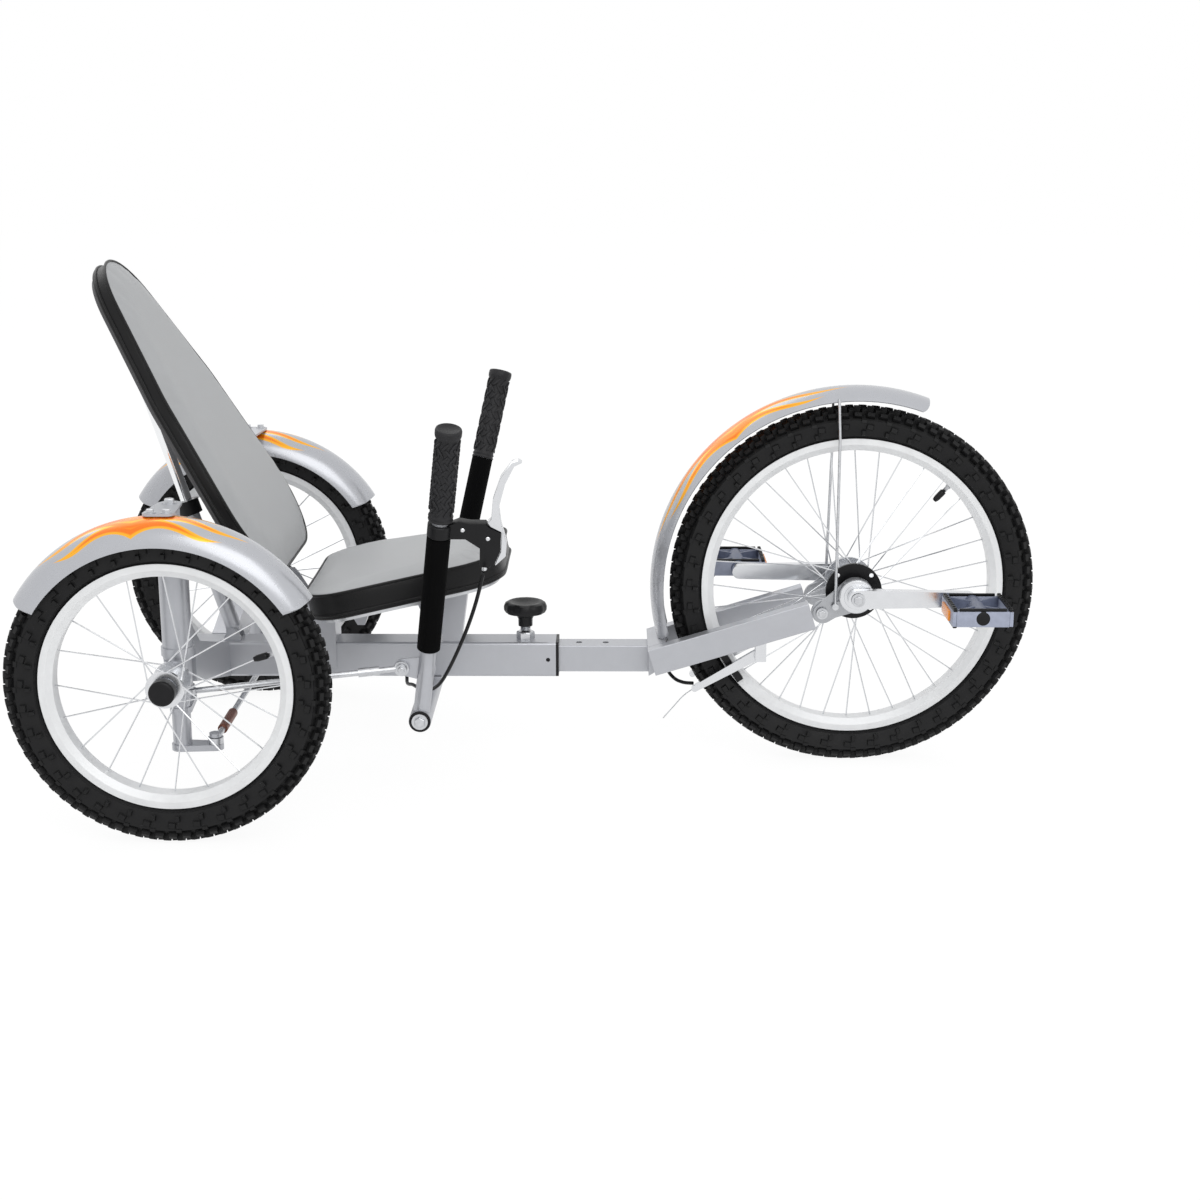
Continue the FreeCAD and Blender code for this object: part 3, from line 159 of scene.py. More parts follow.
def texture(tree, kind, scale, stretch=(1, 1, 1), **inputs):
    """A texture's main output on Object coordinates."""
    coords = tree.nodes.new("ShaderNodeTexCoord")
    mapping = tree.nodes.new("ShaderNodeMapping")
    mapping.inputs["Scale"].default_value = stretch
    tree.links.new(coords.outputs["Object"], mapping.inputs["Vector"])
    node = tree.nodes.new(kind)
    tree.links.new(mapping.outputs["Vector"], node.inputs["Vector"])
    node.inputs["Scale"].default_value = scale
    for name, value in inputs.items():
        node.inputs[name].default_value = value
    return node.outputs[0]


def shade(base, factor):
    """A lighter or darker shade of a colour."""
    return tuple(min(1, channel * factor) for channel in base)


def finish(name, base, rough, spread=0.12, metal=0.0, scale=40, stretch=(1, 1, 1), grain=None, **uniform):
    """A finish whose colour and roughness drift with noise, over a fine grain (kind, scale, height)."""
    material = bpy.data.materials.new(name)
    material.use_nodes = True
    tree = material.node_tree
    shader = tree.nodes["Principled BSDF"]
    shader.inputs["Metallic"].default_value = metal
    for socket, value in uniform.items():
        shader.inputs[socket.replace("_", " ")].default_value = value
    cloud = texture(tree, "ShaderNodeTexNoise", scale, stretch, Detail=5.0, Roughness=0.6)
    tone = ramp(tree, cloud, [(0.3, shade(base, 1 - spread)), (0.7, shade(base, 1 + spread))])
    link(tree, tone, shader.inputs["Base Color"])
    reach = tree.nodes.new("ShaderNodeMapRange")
    link(tree, cloud, reach.inputs["Value"])
    reach.inputs["From Min"].default_value = 0.3
    reach.inputs["From Max"].default_value = 0.7
    reach.inputs["To Min"].default_value = rough[0]
    reach.inputs["To Max"].default_value = rough[1]
    link(tree, reach.outputs["Result"], shader.inputs["Roughness"])
    if grain:
        bump = tree.nodes.new("ShaderNodeBump")
        bump.inputs["Strength"].default_value = 0.6
        bump.inputs["Distance"].default_value = grain[2]
        link(tree, texture(tree, grain[0], grain[1], stretch), bump.inputs["Height"])
        link(tree, bump.outputs["Normal"], shader.inputs["Normal"])
    return material


def tongue(tree, along, across, middle, half, reach, sway):
    """How far a point lies inside a flame tongue that sways and narrows to a tip."""
    swing = calc(tree, "MULTIPLY", calc(tree, "SINE", calc(tree, "MULTIPLY_ADD", along, 7.5, sway * 9)), 0.13)
    offset = calc(tree, "ABSOLUTE", calc(tree, "SUBTRACT", calc(tree, "SUBTRACT", across, middle), swing))
    width = calc(tree, "MULTIPLY_ADD", along, -half / reach, half)
    return calc(tree, "SUBTRACT", width, offset)


def add_flames(material, centre, half_width, root, reaches, core, edge):
    """Flame tongues along a fender's crown, from a root angle round the wheel towards both ends."""
    tree = material.node_tree
    shader = tree.nodes["Principled BSDF"]
    split = tree.nodes.new("ShaderNodeSeparateXYZ")
    coords = tree.nodes.new("ShaderNodeTexCoord")
    tree.links.new(coords.outputs["Object"], split.inputs["Vector"])
    ahead = calc(tree, "SUBTRACT", split.outputs["X"], centre[0])
    above = calc(tree, "SUBTRACT", split.outputs["Z"], centre[2])
    away = calc(tree, "SUBTRACT", calc(tree, "ARCTAN2", above, ahead), math.radians(root))
    across = calc(tree, "DIVIDE", calc(tree, "SUBTRACT", split.outputs["Y"], centre[1]), half_width)
    behind = calc(tree, "DIVIDE", away, math.radians(reaches[0]))
    before = calc(tree, "DIVIDE", away, -math.radians(reaches[1]))
    along = calc(tree, "MAXIMUM", behind, before)
    heat = None
    for index, (middle, half, reach) in enumerate(((-0.66, 0.24, 0.80), (-0.30, 0.29, 1.0), (0.06, 0.30, 0.74),
                                                   (0.38, 0.28, 0.96), (0.70, 0.22, 0.70))):
        part = tongue(tree, along, across, middle, half, reach, index * 0.61)
        heat = part if heat is None else calc(tree, "MAXIMUM", heat, part)
    tone = ramp(tree, calc(tree, "MULTIPLY", heat, 3.0), [(0.0, edge), (0.16, edge), (0.30, core),
                                                          (0.60, core), (0.90, edge)])
    mask = tree.nodes.new("ShaderNodeMapRange")
    link(tree, heat, mask.inputs["Value"])
    mask.inputs["From Min"].default_value = 0.0
    mask.inputs["From Max"].default_value = 0.012
    mix = tree.nodes.new("ShaderNodeMix")
    mix.data_type = "RGBA"
    paint = shader.inputs["Base Color"].links[0].from_socket
    link(tree, mask.outputs["Result"], mix.inputs["Factor"])
    link(tree, paint, mix.inputs[6])
    link(tree, tone, mix.inputs[7])
    link(tree, mix.outputs[2], shader.inputs["Base Color"])


def dress(node, *materials):
    """Gives a CAD node its finish, and any more that its faces may use."""
    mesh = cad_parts[node].data
    mesh.materials.clear()
    for material in materials:
        mesh.materials.append(material)
    for face in mesh.polygons:
        face.material_index = 0


def dress_faces(node, index, test):
    """Uses another of a CAD node's finishes where the middle of a face passes the test."""
    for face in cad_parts[node].data.polygons:
        if test(face.center):
            face.material_index = index


def make_piece(name, bm, body, materials, replaces=(), flat=False):
    """Turns a bmesh into a finished piece that rides on a body."""
    mesh = bpy.data.meshes.new(name)
    bm.to_mesh(mesh)
    bm.free()
    for material in materials:
        mesh.materials.append(material)
    for face in mesh.polygons:
        face.use_smooth = not flat
    piece = bpy.data.objects.new(name, mesh)
    bpy.context.scene.collection.objects.link(piece)
    if body:
        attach(piece, body)
    if replaces:
        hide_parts(*replaces)
    return piece


def crease(piece, degrees):
    """Keeps edges sharp above an angle."""
    piece.data.set_sharp_from_angle(angle=math.radians(degrees))


def aim(place, way):
    """A matrix at a place whose Z runs along a way."""
    return Matrix.Translation(place) @ Vector(way).to_track_quat("Z", "Y").to_matrix().to_4x4()


def turn_profile(bm, profile, matrix, steps, closed=False):
    """Spins a profile (radius, height) about Z, then places it."""
    before = set(bm.verts)
    verts = [bm.verts.new((radius, 0, height)) for radius, height in profile]
    edges = [bm.edges.new(pair) for pair in zip(verts, verts[1:])]
    if closed:
        edges.append(bm.edges.new((verts[-1], verts[0])))
    bmesh.ops.spin(bm, geom=verts + edges, cent=(0, 0, 0), axis=(0, 0, 1), angle=2 * math.pi, steps=steps,
                   use_merge=True)
    fresh = [vert for vert in bm.verts if vert not in before]
    bmesh.ops.remove_doubles(bm, verts=fresh, dist=1e-6)
    fresh = [vert for vert in bm.verts if vert not in before]
    bmesh.ops.transform(bm, matrix=matrix, verts=fresh)


def hexagon_head(bm, place, way, radius, height):
    """A hexagon bolt head on its washer."""
    place, way = Vector(place), Vector(way).normalized()
    seat = aim(place, way)
    washer = seat @ Matrix.Translation((0, 0, 0.0005))
    bmesh.ops.create_cone(bm, cap_ends=True, segments=24, radius1=radius * 1.45, radius2=radius * 1.45,
                          depth=0.001, matrix=washer)
    head = seat @ Matrix.Translation((0, 0, 0.001 + height / 2))
    made = bmesh.ops.create_cone(bm, cap_ends=True, segments=6, radius1=radius, radius2=radius,
                                 depth=height, matrix=head)
    top = max((vert.co - place).dot(way) for vert in made["verts"])
    rim = [edge for edge in {edge for vert in made["verts"] for edge in vert.link_edges}
           if all((vert.co - place).dot(way) > top - 1e-5 for vert in edge.verts)]
    bmesh.ops.bevel(bm, geom=rim, offset=radius * 0.14, offset_type="OFFSET", affect="EDGES", segments=2,
                    profile=0.5, material=-1)


def tube_along(points, radius, order=3):
    """A mesh tube along a smooth line near the points."""
    data = bpy.data.curves.new("route", "CURVE")
    data.dimensions = "3D"
    spline = data.splines.new("NURBS")
    spline.points.add(len(points) - 1)
    for point, place in zip(spline.points, points):
        point.co = (*place, 1)
    spline.order_u = order
    spline.use_endpoint_u = True
    data.resolution_u = 8
    data.bevel_depth = radius
    data.bevel_resolution = 4
    data.use_fill_caps = True
    return tube_mesh(data)


def tube_mesh(data):
    """The mesh of a bevelled curve."""
    holder = bpy.data.objects.new("route", data)
    bpy.context.scene.collection.objects.link(holder)
    mesh = bpy.data.meshes.new_from_object(holder.evaluated_get(bpy.context.evaluated_depsgraph_get()))
    bpy.data.objects.remove(holder)
    bm = bmesh.new()
    bm.from_mesh(mesh)
    bmesh.ops.remove_doubles(bm, verts=bm.verts, dist=1e-6)
    return bm


def ring_tube(points, radius):
    """A closed mesh tube through the points."""
    data = bpy.data.curves.new("ring", "CURVE")
    data.dimensions = "3D"
    spline = data.splines.new("POLY")
    spline.points.add(len(points) - 1)
    for point, place in zip(spline.points, points):
        point.co = (*place, 1)
    spline.use_cyclic_u = True
    data.bevel_depth = radius
    data.bevel_resolution = 3
    return tube_mesh(data)


def make_tyre(name, sizes, rubber):
    """A casing with rows of tapered knobs out to the CAD tyre's width and height."""
    low, high = (Vector(corner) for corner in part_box(TYRES[name]))
    centre, outer, half = (low + high) / 2, (high.z - low.z) / 2, (high.y - low.y) / 2
    rim_low, rim_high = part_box(RIMS[name])
    rim = (rim_high[2] - rim_low[2]) / 2
    middle = (outer + rim) / 2
    road = outer - sizes.knob_height
    side = [(rim - 0.0055, 0.0140), (rim + 0.0010, 0.0148), (rim + 0.0040, 0.0185), (rim + 0.0048, 0.0200),
            (middle - 0.006, half - 0.0035), (middle + 0.004, half - 0.0022), (road - 0.012, half - 0.0048),
            (road - 0.0045, half - 0.0105), (road - 0.001, half - 0.018)]
    profile = side + [(road, 0)] + [(radius, -y) for radius, y in reversed(side)]
    along_y = Matrix.Translation(centre) @ Matrix.Rotation(math.radians(-90), 4, "X")
    bm = bmesh.new()
    turn_profile(bm, profile, along_y, 120, closed=True)
    around = 2 * round(math.pi * outer / sizes.tread_pitch)
    rows = [(0.0062, outer, 6, 0.0100, 0.0088, 0.0, 12, 1.25),
            (0.0158, outer - 0.0022, 24, 0.0088, 0.0070, 0.5, -14, 1.25),
            (0.0228, outer - 0.0088, 52, 0.0110, 0.0062, 0.0, 4, 1.25),
            (0.0252, outer - 0.0185, 78, 0.0080, 0.0050, 0.5, 0, 0.7),
            (half - 0.0004, outer - 0.0260, 88, 0.0092, 0.0070, 0.0, 8, 0.5),
            (half - 0.0006, outer - 0.0345, 90, 0.0050, 0.0066, 0.5, 0, 0.5)]
    for index in range(around):
        for row, (y, top, tilt, size_along, size_across, phase, skew, share) in enumerate(rows):
            if row >= 3 and (index + row) % 2 == 0:
                continue
            for direction in (-1, 1):
                shift = 0.5 if direction > 0 and row == 0 else 0.0
                angle = 2 * math.pi * (index + phase + shift) / around
                lean = math.radians(-direction * tilt)
                tall = sizes.knob_height * share
                out = Matrix.Rotation(lean, 4, "X") @ Matrix.Translation((0, 0, -tall / 2))
                place = (Matrix.Translation(centre) @ Matrix.Rotation(angle, 4, "Y")
                         @ Matrix.Translation((0, direction * y, top)) @ out
                         @ Matrix.Rotation(math.radians(direction * skew), 4, "Z")
                         @ Matrix.Diagonal((size_along, size_across, tall, 1))
                         @ Matrix.Rotation(math.pi / 4, 4, "Z"))
                bmesh.ops.create_cone(bm, cap_ends=True, segments=4, radius1=0.82, radius2=0.62, depth=1.0,
                                      matrix=place)
    bmesh.ops.recalc_face_normals(bm, faces=bm.faces)
    piece = make_piece("treaded_tyre_" + name, bm, WHEELS[name], [rubber], [TYRES[name]])
    crease(piece, 28)
    return piece


def cover_rings(node, face, way, depth, draw):
    """Rings of places over a pad's CAD outline, its back first, with its sides drawn in between two seams."""
    source = bmesh.new()
    source.from_mesh(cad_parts[node].data)
    bmesh.ops.remove_doubles(source, verts=source.verts, dist=1e-5)
    loop = loop_at(source, face - way * depth / 2, way)
    source.free()
    middle = sum(loop, Vector()) / len(loop)
    low, high = depth - 0.0075, 0.0075
    steps = [(depth - 0.0003, 0.016), (depth - 0.0003, 0.005), (depth - 0.003, 0.0022), (low, 0.0028)]
    steps += [(low + (high - low) * share, 0.0028 + draw * (1 - (2 * share - 1) ** 4))
              for share in (0.22, 0.5, 0.78)]
    steps += [(high, 0.0028), (0.0048, 0.0040), (0.0036, 0.0080)]
    rings = []
    for behind, inset in steps:
        shift = way * (depth / 2 - behind)
        rings.append([place + shift + (middle - place).normalized() * inset for place in loop])
    last, centre = rings[-1], middle + way * (depth / 2 - 0.0034)
    for count in range(1, 15):
        share = 1 - count / 15
        rings.append([centre + (place - centre) * share for place in last])
    return rings, middle - way * (depth / 2 - 0.0003), centre


def cover_mesh(name, rings, back, front):
    """A closed cover through the rings, with its held places in a group."""
    count, total = len(rings[0]), len(rings)
    verts = [place for ring in rings for place in ring] + [back, front]
    faces = []
    for row in range(total - 1):
        for index in range(count):
            after = (index + 1) % count
            low, high = row * count, (row + 1) * count
            faces.append((low + index, low + after, high + after, high + index))
    for index in range(count):
        after = (index + 1) % count
        faces.append((after, index, total * count))
        faces.append(((total - 1) * count + index, (total - 1) * count + after, total * count + 1))
    mesh = bpy.data.meshes.new(name)
    mesh.from_pydata(verts, [], faces)
    piece = bpy.data.objects.new(name, mesh)
    bpy.context.scene.collection.objects.link(piece)
    held = piece.vertex_groups.new(name="held")
    held.add(list(range(4 * count)) + list(range(7 * count, 8 * count)) + [total * count], 1.0, "REPLACE")
    return piece


def swell(piece, limit):
    """Lets cloth pressure fill a drawn-in cover, no point moving further than the limit."""
    scene = bpy.context.scene
    rest = [vert.co.copy() for vert in piece.data.vertices]
    cloth = piece.modifiers.new("Cloth", "CLOTH")
    cloth.settings.quality = 5
    cloth.settings.use_pressure = True
    cloth.settings.uniform_pressure_force = 4.0
    cloth.settings.effector_weights.gravity = 0
    cloth.settings.vertex_group_mass = "held"
    cloth.point_cache.frame_start = 1
    cloth.point_cache.frame_end = 20
    for step in range(1, 21):
        scene.frame_set(step)
    moved = piece.evaluated_get(bpy.context.evaluated_depsgraph_get()).data
    places = [vert.co.copy() for vert in moved.vertices]
    piece.modifiers.remove(cloth)
    scene.frame_set(1)
    for vert, start, end in zip(piece.data.vertices, rest, places):
        step = end - start
        vert.co = start + step * min(1.0, limit / max(step.length, 1e-9))


def loop_at(bm, point, way, count=160):
    """The smooth outline of a pad where a plane cuts it."""
    copy = bm.copy()
    cut = bmesh.ops.bisect_plane(copy, geom=copy.verts[:] + copy.edges[:] + copy.faces[:], plane_co=point,
                                 plane_no=way, clear_inner=True, clear_outer=True)
    places = [item.co.copy() for item in cut["geom_cut"] if isinstance(item, bmesh.types.BMVert)]
    copy.free()
    middle = sum(places, Vector()) / len(places)
    side = Vector((0, 1, 0))
    up = way.cross(side)
    places.sort(key=lambda place: math.atan2((place - middle).dot(up), (place - middle).dot(side)))
    dense = []
    for place, after in zip(places, places[1:] + places[:1]):
        pieces = max(1, int((after - place).length / 0.0015))
        dense += [place.lerp(after, share / pieces) for share in range(pieces)]
    turns = [(math.atan2((place - middle).dot(up), (place - middle).dot(side)), place) for place in dense]
    loop = []
    for index in range(count):
        angle = 2 * math.pi * index / count - math.pi
        weights = [(math.exp(-(math.remainder(turn - angle, 2 * math.pi) / 0.03) ** 2), place)
                   for turn, place in turns]
        total = sum(weight for weight, place in weights) + 1e-12
        loop.append(sum((place * weight for weight, place in weights), Vector()) / total)
    return loop


def make_pad(kind, node, face, way, depth, sizes, vinyl, black):
    """A padded cover with a pale face, black sides and a row of piping along both seams."""
    rings, back, front = cover_rings(node, face, way, depth, sizes.pad_draw)
    count = len(rings[0])
    piece = cover_mesh(kind + "_pad_form", rings, back, front)
    swell(piece, sizes.pad_swell)
    for number, row in enumerate((3, 7)):
        seam = [piece.data.vertices[row * count + index].co.copy() for index in range(count)]
        rope = ring_tube(seam, sizes.piping_radius)
        bmesh.ops.recalc_face_normals(rope, faces=rope.faces)
        make_piece(f"{kind}_piping_{number}", rope, "frame", [black])
    total = len(piece.data.polygons)
    sides = set(range(7 * count)) | set(range(total - 2 * count, total, 2))
    for polygon in piece.data.polygons:
        polygon.material_index = 1 if polygon.index in sides else 0
    fine = piece.modifiers.new("Subdivision", "SUBSURF")
    fine.levels = fine.render_levels = 1
    mesh = bpy.data.meshes.new_from_object(piece.evaluated_get(bpy.context.evaluated_depsgraph_get()))
    bpy.data.objects.remove(piece)
    bm = bmesh.new()
    bm.from_mesh(mesh)
    bmesh.ops.recalc_face_normals(bm, faces=bm.faces)
    cover = make_piece(kind + "_pad_cover", bm, "frame", [vinyl, black], [node])


def lever_place(side, height):
    """A place on a steering lever's middle line at a height."""
    sign = SIDES[side]
    x = LEVER_FOOT.x + (height - LEVER_FOOT.z) * LEVER_RUN[side]
    return Vector((x, sign * (LEVER_FOOT.y + max(height - LEVER_BEND, 0) * LEVER_SPLAY), height))


def make_grip(side, sizes, rubber):
    """A grip with slanting ribs, a ringed foot and a wide dished end."""
    low, high = lever_place(side, GRIP_FOOT[side]), lever_place(side, GRIP_TOP)
    total = (high - low).length
    profile = [(0.0112, 0.0), (0.0158, 0.0), (0.0163, 0.0015), (0.0152, 0.0030), (0.0152, 0.0045), (0.0163, 0.0060),
               (0.0152, 0.0075), (0.0148, 0.0100), (0.0150, 0.040), (0.0154, 0.065), (0.0150, 0.090),
               (0.0149, total - 0.014), (0.0166, total - 0.011), (0.0172, total - 0.008), (0.0172, total - 0.003),
               (0.0165, total - 0.0008), (0.0145, total), (0.0120, total - 0.0018), (0.0, total - 0.0022)]
    frame_in = aim(low, high - low)
    bm = bmesh.new()
    turn_profile(bm, profile, frame_in, 48)
    rows = 11
    for row in range(rows):
        for index in range(sizes.grip_ribs):
            angle = 2 * math.pi * (index + 0.5 * (row % 2)) / sizes.grip_ribs
            height = 0.017 + (total - 0.037) * row / (rows - 1)
            slant = math.radians(38 if row % 2 else -38)
            place = (frame_in @ Matrix.Rotation(angle, 4, "Z") @ Matrix.Translation((0.0153, 0, height))
                     @ Matrix.Rotation(slant, 4, "X") @ Matrix.Diagonal((0.0022, 0.0026, 0.0115, 1)))
            bmesh.ops.create_icosphere(bm, subdivisions=2, radius=0.72, matrix=place)
    bmesh.ops.recalc_face_normals(bm, faces=bm.faces)
    make_piece("ribbed_grip_" + side, bm, "lever_" + side, [rubber], ["lever_grip_" + side])


def block(bm, place, size, index, matrix=Matrix()):
    """A block with small chamfers and a finish."""
    before = set(bm.faces)
    scaled = matrix @ Matrix.Translation(place) @ Matrix.Diagonal((*size, 1))
    made = bmesh.ops.create_cube(bm, size=1.0, matrix=scaled)
    edges = list({edge for vert in made["verts"] for edge in vert.link_edges})
    bmesh.ops.bevel(bm, geom=edges, offset=min(size) * 0.18, offset_type="OFFSET", affect="EDGES", segments=2,
                    profile=0.6, material=-1)
    for face in set(bm.faces) - before:
        face.material_index = index


def turned(bm, profile, matrix, steps, index):
    """A turned form with a finish."""
    before = set(bm.faces)
    turn_profile(bm, profile, matrix, steps)
    for face in set(bm.faces) - before:
        face.material_index = index


def make_pedal(side, finishes):
    """A cage pedal: side rails, toothed end rails, slanting struts, a barrel, a cap and end reflectors."""
    turn = 1 if side == "right" else -1
    home = Matrix.Translation((FRONT_AXLE.x + turn * CRANK_LENGTH, -turn * PEDAL_MIDDLE, FRONT_AXLE.z))
    home = home @ Matrix.Rotation(0 if turn > 0 else math.pi, 4, "Z")
    bm = bmesh.new()
    for out in (-1, 1):
        block(bm, (0, out * 0.0415, -0.001), (0.070, 0.006, 0.021), 0, home)
        block(bm, (0, out * 0.0410, 0.0112), (0.062, 0.004, 0.004), 1, home)
        block(bm, (out * 0.0375, 0, -0.001), (0.005, 0.088, 0.020), 0, home)
        block(bm, (out * 0.0415, 0, -0.001), (0.0030, 0.050, 0.014), 3, home)
        for level in (-1, 1):
            block(bm, (out * 0.0365, 0, level * 0.0112), (0.0050, 0.086, 0.0035), 1, home)
            for tooth in range(9):
                place = (out * 0.0365, -0.038 + tooth * 0.0095, level * 0.0130)
                block(bm, place, (0.004, 0.0042, 0.0020), 1, home)
        for across in (-1, 1):
            start, end = Vector((0, out * 0.010, 0)), Vector((across * 0.036, out * 0.038, 0))
            middle, way = (start + end) / 2, end - start
            slant = math.atan2(way.y, way.x)
            strut = home @ Matrix.Translation(middle) @ Matrix.Rotation(slant, 4, "Z")
            block(bm, (0, 0, 0.003), (way.length, 0.0042, 0.014), 2, strut)
    barrel = home @ Matrix.Rotation(math.pi / 2, 4, "X")
    turned(bm, [(0.0062, -0.0450), (0.0105, -0.0450), (0.0115, -0.0430), (0.0115, 0.0410), (0.0, 0.0410)],
           barrel, 28, 2)
    turned(bm, [(0.0, 0.0452), (0.0070, 0.0452), (0.0098, 0.0443), (0.0102, 0.0430), (0.0102, 0.0400),
                (0.0, 0.0400)], barrel, 28, 1)
    bmesh.ops.recalc_face_normals(bm, faces=bm.faces)
    piece = make_piece("caged_pedal_" + side, bm, "pedal_" + side, finishes, ["pedal_" + side])
    crease(piece, 35)


def make_slab(bm, outline, half, matrix, index):
    """A slab from an outline (x, z) in the XZ plane, with its rims bevelled and a finish."""
    before = set(bm.faces)
    low = [bm.verts.new((x, -half, z)) for x, z in outline]
    base = bm.faces.new(low)
    made = bmesh.ops.extrude_face_region(bm, geom=[base])["geom"]
    high = [item for item in made if isinstance(item, bmesh.types.BMVert)]
    bmesh.ops.translate(bm, vec=(0, 2 * half, 0), verts=high)
    rims = [edge for edge in {edge for vert in low + high for edge in vert.link_edges}
            if abs(edge.verts[0].co.y - edge.verts[1].co.y) < 1e-6]
    bmesh.ops.bevel(bm, geom=rims, offset=0.0009, offset_type="OFFSET", affect="EDGES", segments=2, profile=0.5,
                    material=-1)
    faces = [face for face in bm.faces if face not in before]
    bmesh.ops.transform(bm, matrix=matrix, verts=list({vert for face in faces for vert in face.verts}))
    for face in faces:
        face.material_index = index


def make_brake_lever(black, alloy):
    """The brake lever: a clamp round the right lever, a black body and a curved alloy blade."""
    clamp = lever_place("right", CLAMP_HEIGHT)
    up, out = Vector((0, -LEVER_SPLAY, 1)), Vector((0, 1, LEVER_SPLAY)).normalized()
    plane = Matrix.Translation(clamp) @ Matrix((Vector((1, 0, 0)), out, up)).transposed().to_4x4()
    body = [(12, 8), (26, 13.5), (40, 10.5), (60, 10.5), (64, 5), (79, -3), (77, -29), (69, -46), (61, -51.5),
            (50, -50), (51, -24), (33, -11), (12, -11)]
    blade = [(62.5, 11.2), (67, 16), (70, 44), (80, 72), (95, 93), (103, 95.6), (108, 93), (98, 88), (86, 64),
             (77.5, 33), (79.5, 10), (86, -18), (84, -36), (70.5, -49), (69.8, -47.5), (78, -29.3), (80.2, -2.4),
             (66, 5.2)]
    bm = bmesh.new()
    make_slab(bm, [(x / 1000, z / 1000) for x, z in body], 0.0068, plane, 0)
    make_slab(bm, [(x / 1000, z / 1000) for x, z in blade], 0.0050, plane, 1)
    axis = lever_place("right", CLAMP_HEIGHT + 0.01) - clamp
    turned(bm, [(0.0112, -0.0088), (0.0152, -0.0088), (0.0159, -0.0080), (0.0159, 0.0080), (0.0152, 0.0088),
                (0.0112, 0.0088), (0.0112, -0.0088)], aim(clamp, axis), 40, 0)
    turned(bm, [(0.0, 0.0), (0.0038, 0.0), (0.0038, 0.006), (0.0030, 0.0065), (0.0, 0.0065)],
           aim(plane @ Vector((0.055, 0, -0.0570)), up), 20, 1)
    for x, z in ((0.030, 0.002), (0.062, -0.010)):
        for side in (-1, 1):
            turned(bm, [(0.0, 0.0008), (0.0022, 0.0008), (0.0030, 0.0), (0.0030, -0.001), (0.0, -0.001)],
                   aim(plane @ Vector((x, side * 0.0069, z)), out * side), 16, 1)
    bmesh.ops.recalc_face_normals(bm, faces=bm.faces)
    piece = make_piece("brake_lever_form", bm, "lever_right", [black, alloy], ["brake_lever"])
    crease(piece, 35)


def make_knob(finishes):
    """The lock's knob with shallow flutes and a dished top, over its stem and nut."""
    seat = Matrix.Translation(KNOB_FOOT)
    bm = bmesh.new()
    turned(bm, [(0.0, 0.0500), (0.006, 0.0502), (0.014, 0.0515), (0.020, 0.0535), (0.0245, 0.0540),
                (0.0285, 0.0522), (0.0305, 0.0475), (0.0303, 0.0425), (0.0280, 0.0388), (0.0200, 0.0365),
                (0.0125, 0.0338), (0.0102, 0.0290), (0.0100, 0.0190), (0.0, 0.0190)], seat, 80, 0)
    for vert in bm.verts:
        x, y = vert.co.x - KNOB_FOOT.x, vert.co.y
        if math.hypot(x, y) > 0.026:
            pull = 1 - 0.035 * (0.5 - 0.5 * math.cos(8 * math.atan2(y, x))) ** 3
            vert.co.x, vert.co.y = x * pull + KNOB_FOOT.x, y * pull
    turned(bm, [(0.0, 0.0195), (0.0075, 0.0195)] + [(0.0066 + 0.0009 * (step % 2), 0.0190 - step * 0.0009)
                                                  for step in range(9)] + [(0.0, 0.0110)], seat, 28, 1)
    turned(bm, [(0.0, 0.0112), (0.0110, 0.0112), (0.0126, 0.0100), (0.0130, 0.0085), (0.0130, 0.0), (0.0, 0.0)],
           seat, 6, 1)
    bmesh.ops.recalc_face_normals(bm, faces=bm.faces)
    piece = make_piece("fluted_knob", bm, "frame", finishes, ["lock_knob"])
    crease(piece, 40)


def make_valve(name, angle, steel, black):
    """A valve stem with its cap, inwards from the rim."""
    rim_node = RIMS[name]
    low, high = (Vector(corner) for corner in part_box(rim_node))
    centre, outer = (low + high) / 2, (high.z - low.z) / 2
    way = Vector((-math.cos(math.radians(angle)), 0, -math.sin(math.radians(angle))))
    foot = centre - way * (outer - 0.0165)
    bm = bmesh.new()
    stem = [(0.0, 0.0), (0.0042, 0.0), (0.0040, 0.003), (0.0030, 0.004), (0.0030, 0.011), (0.0, 0.011)]
    cap = [(0.0, 0.011), (0.0044, 0.011), (0.0046, 0.014), (0.0044, 0.024), (0.0030, 0.029), (0.0, 0.0295)]
    for index, profile in enumerate((stem, cap)):
        turned(bm, profile, aim(foot, way), 16, index)
    bmesh.ops.recalc_face_normals(bm, faces=bm.faces)
    make_piece("valve_" + name, bm, WHEELS[name], [steel, black])


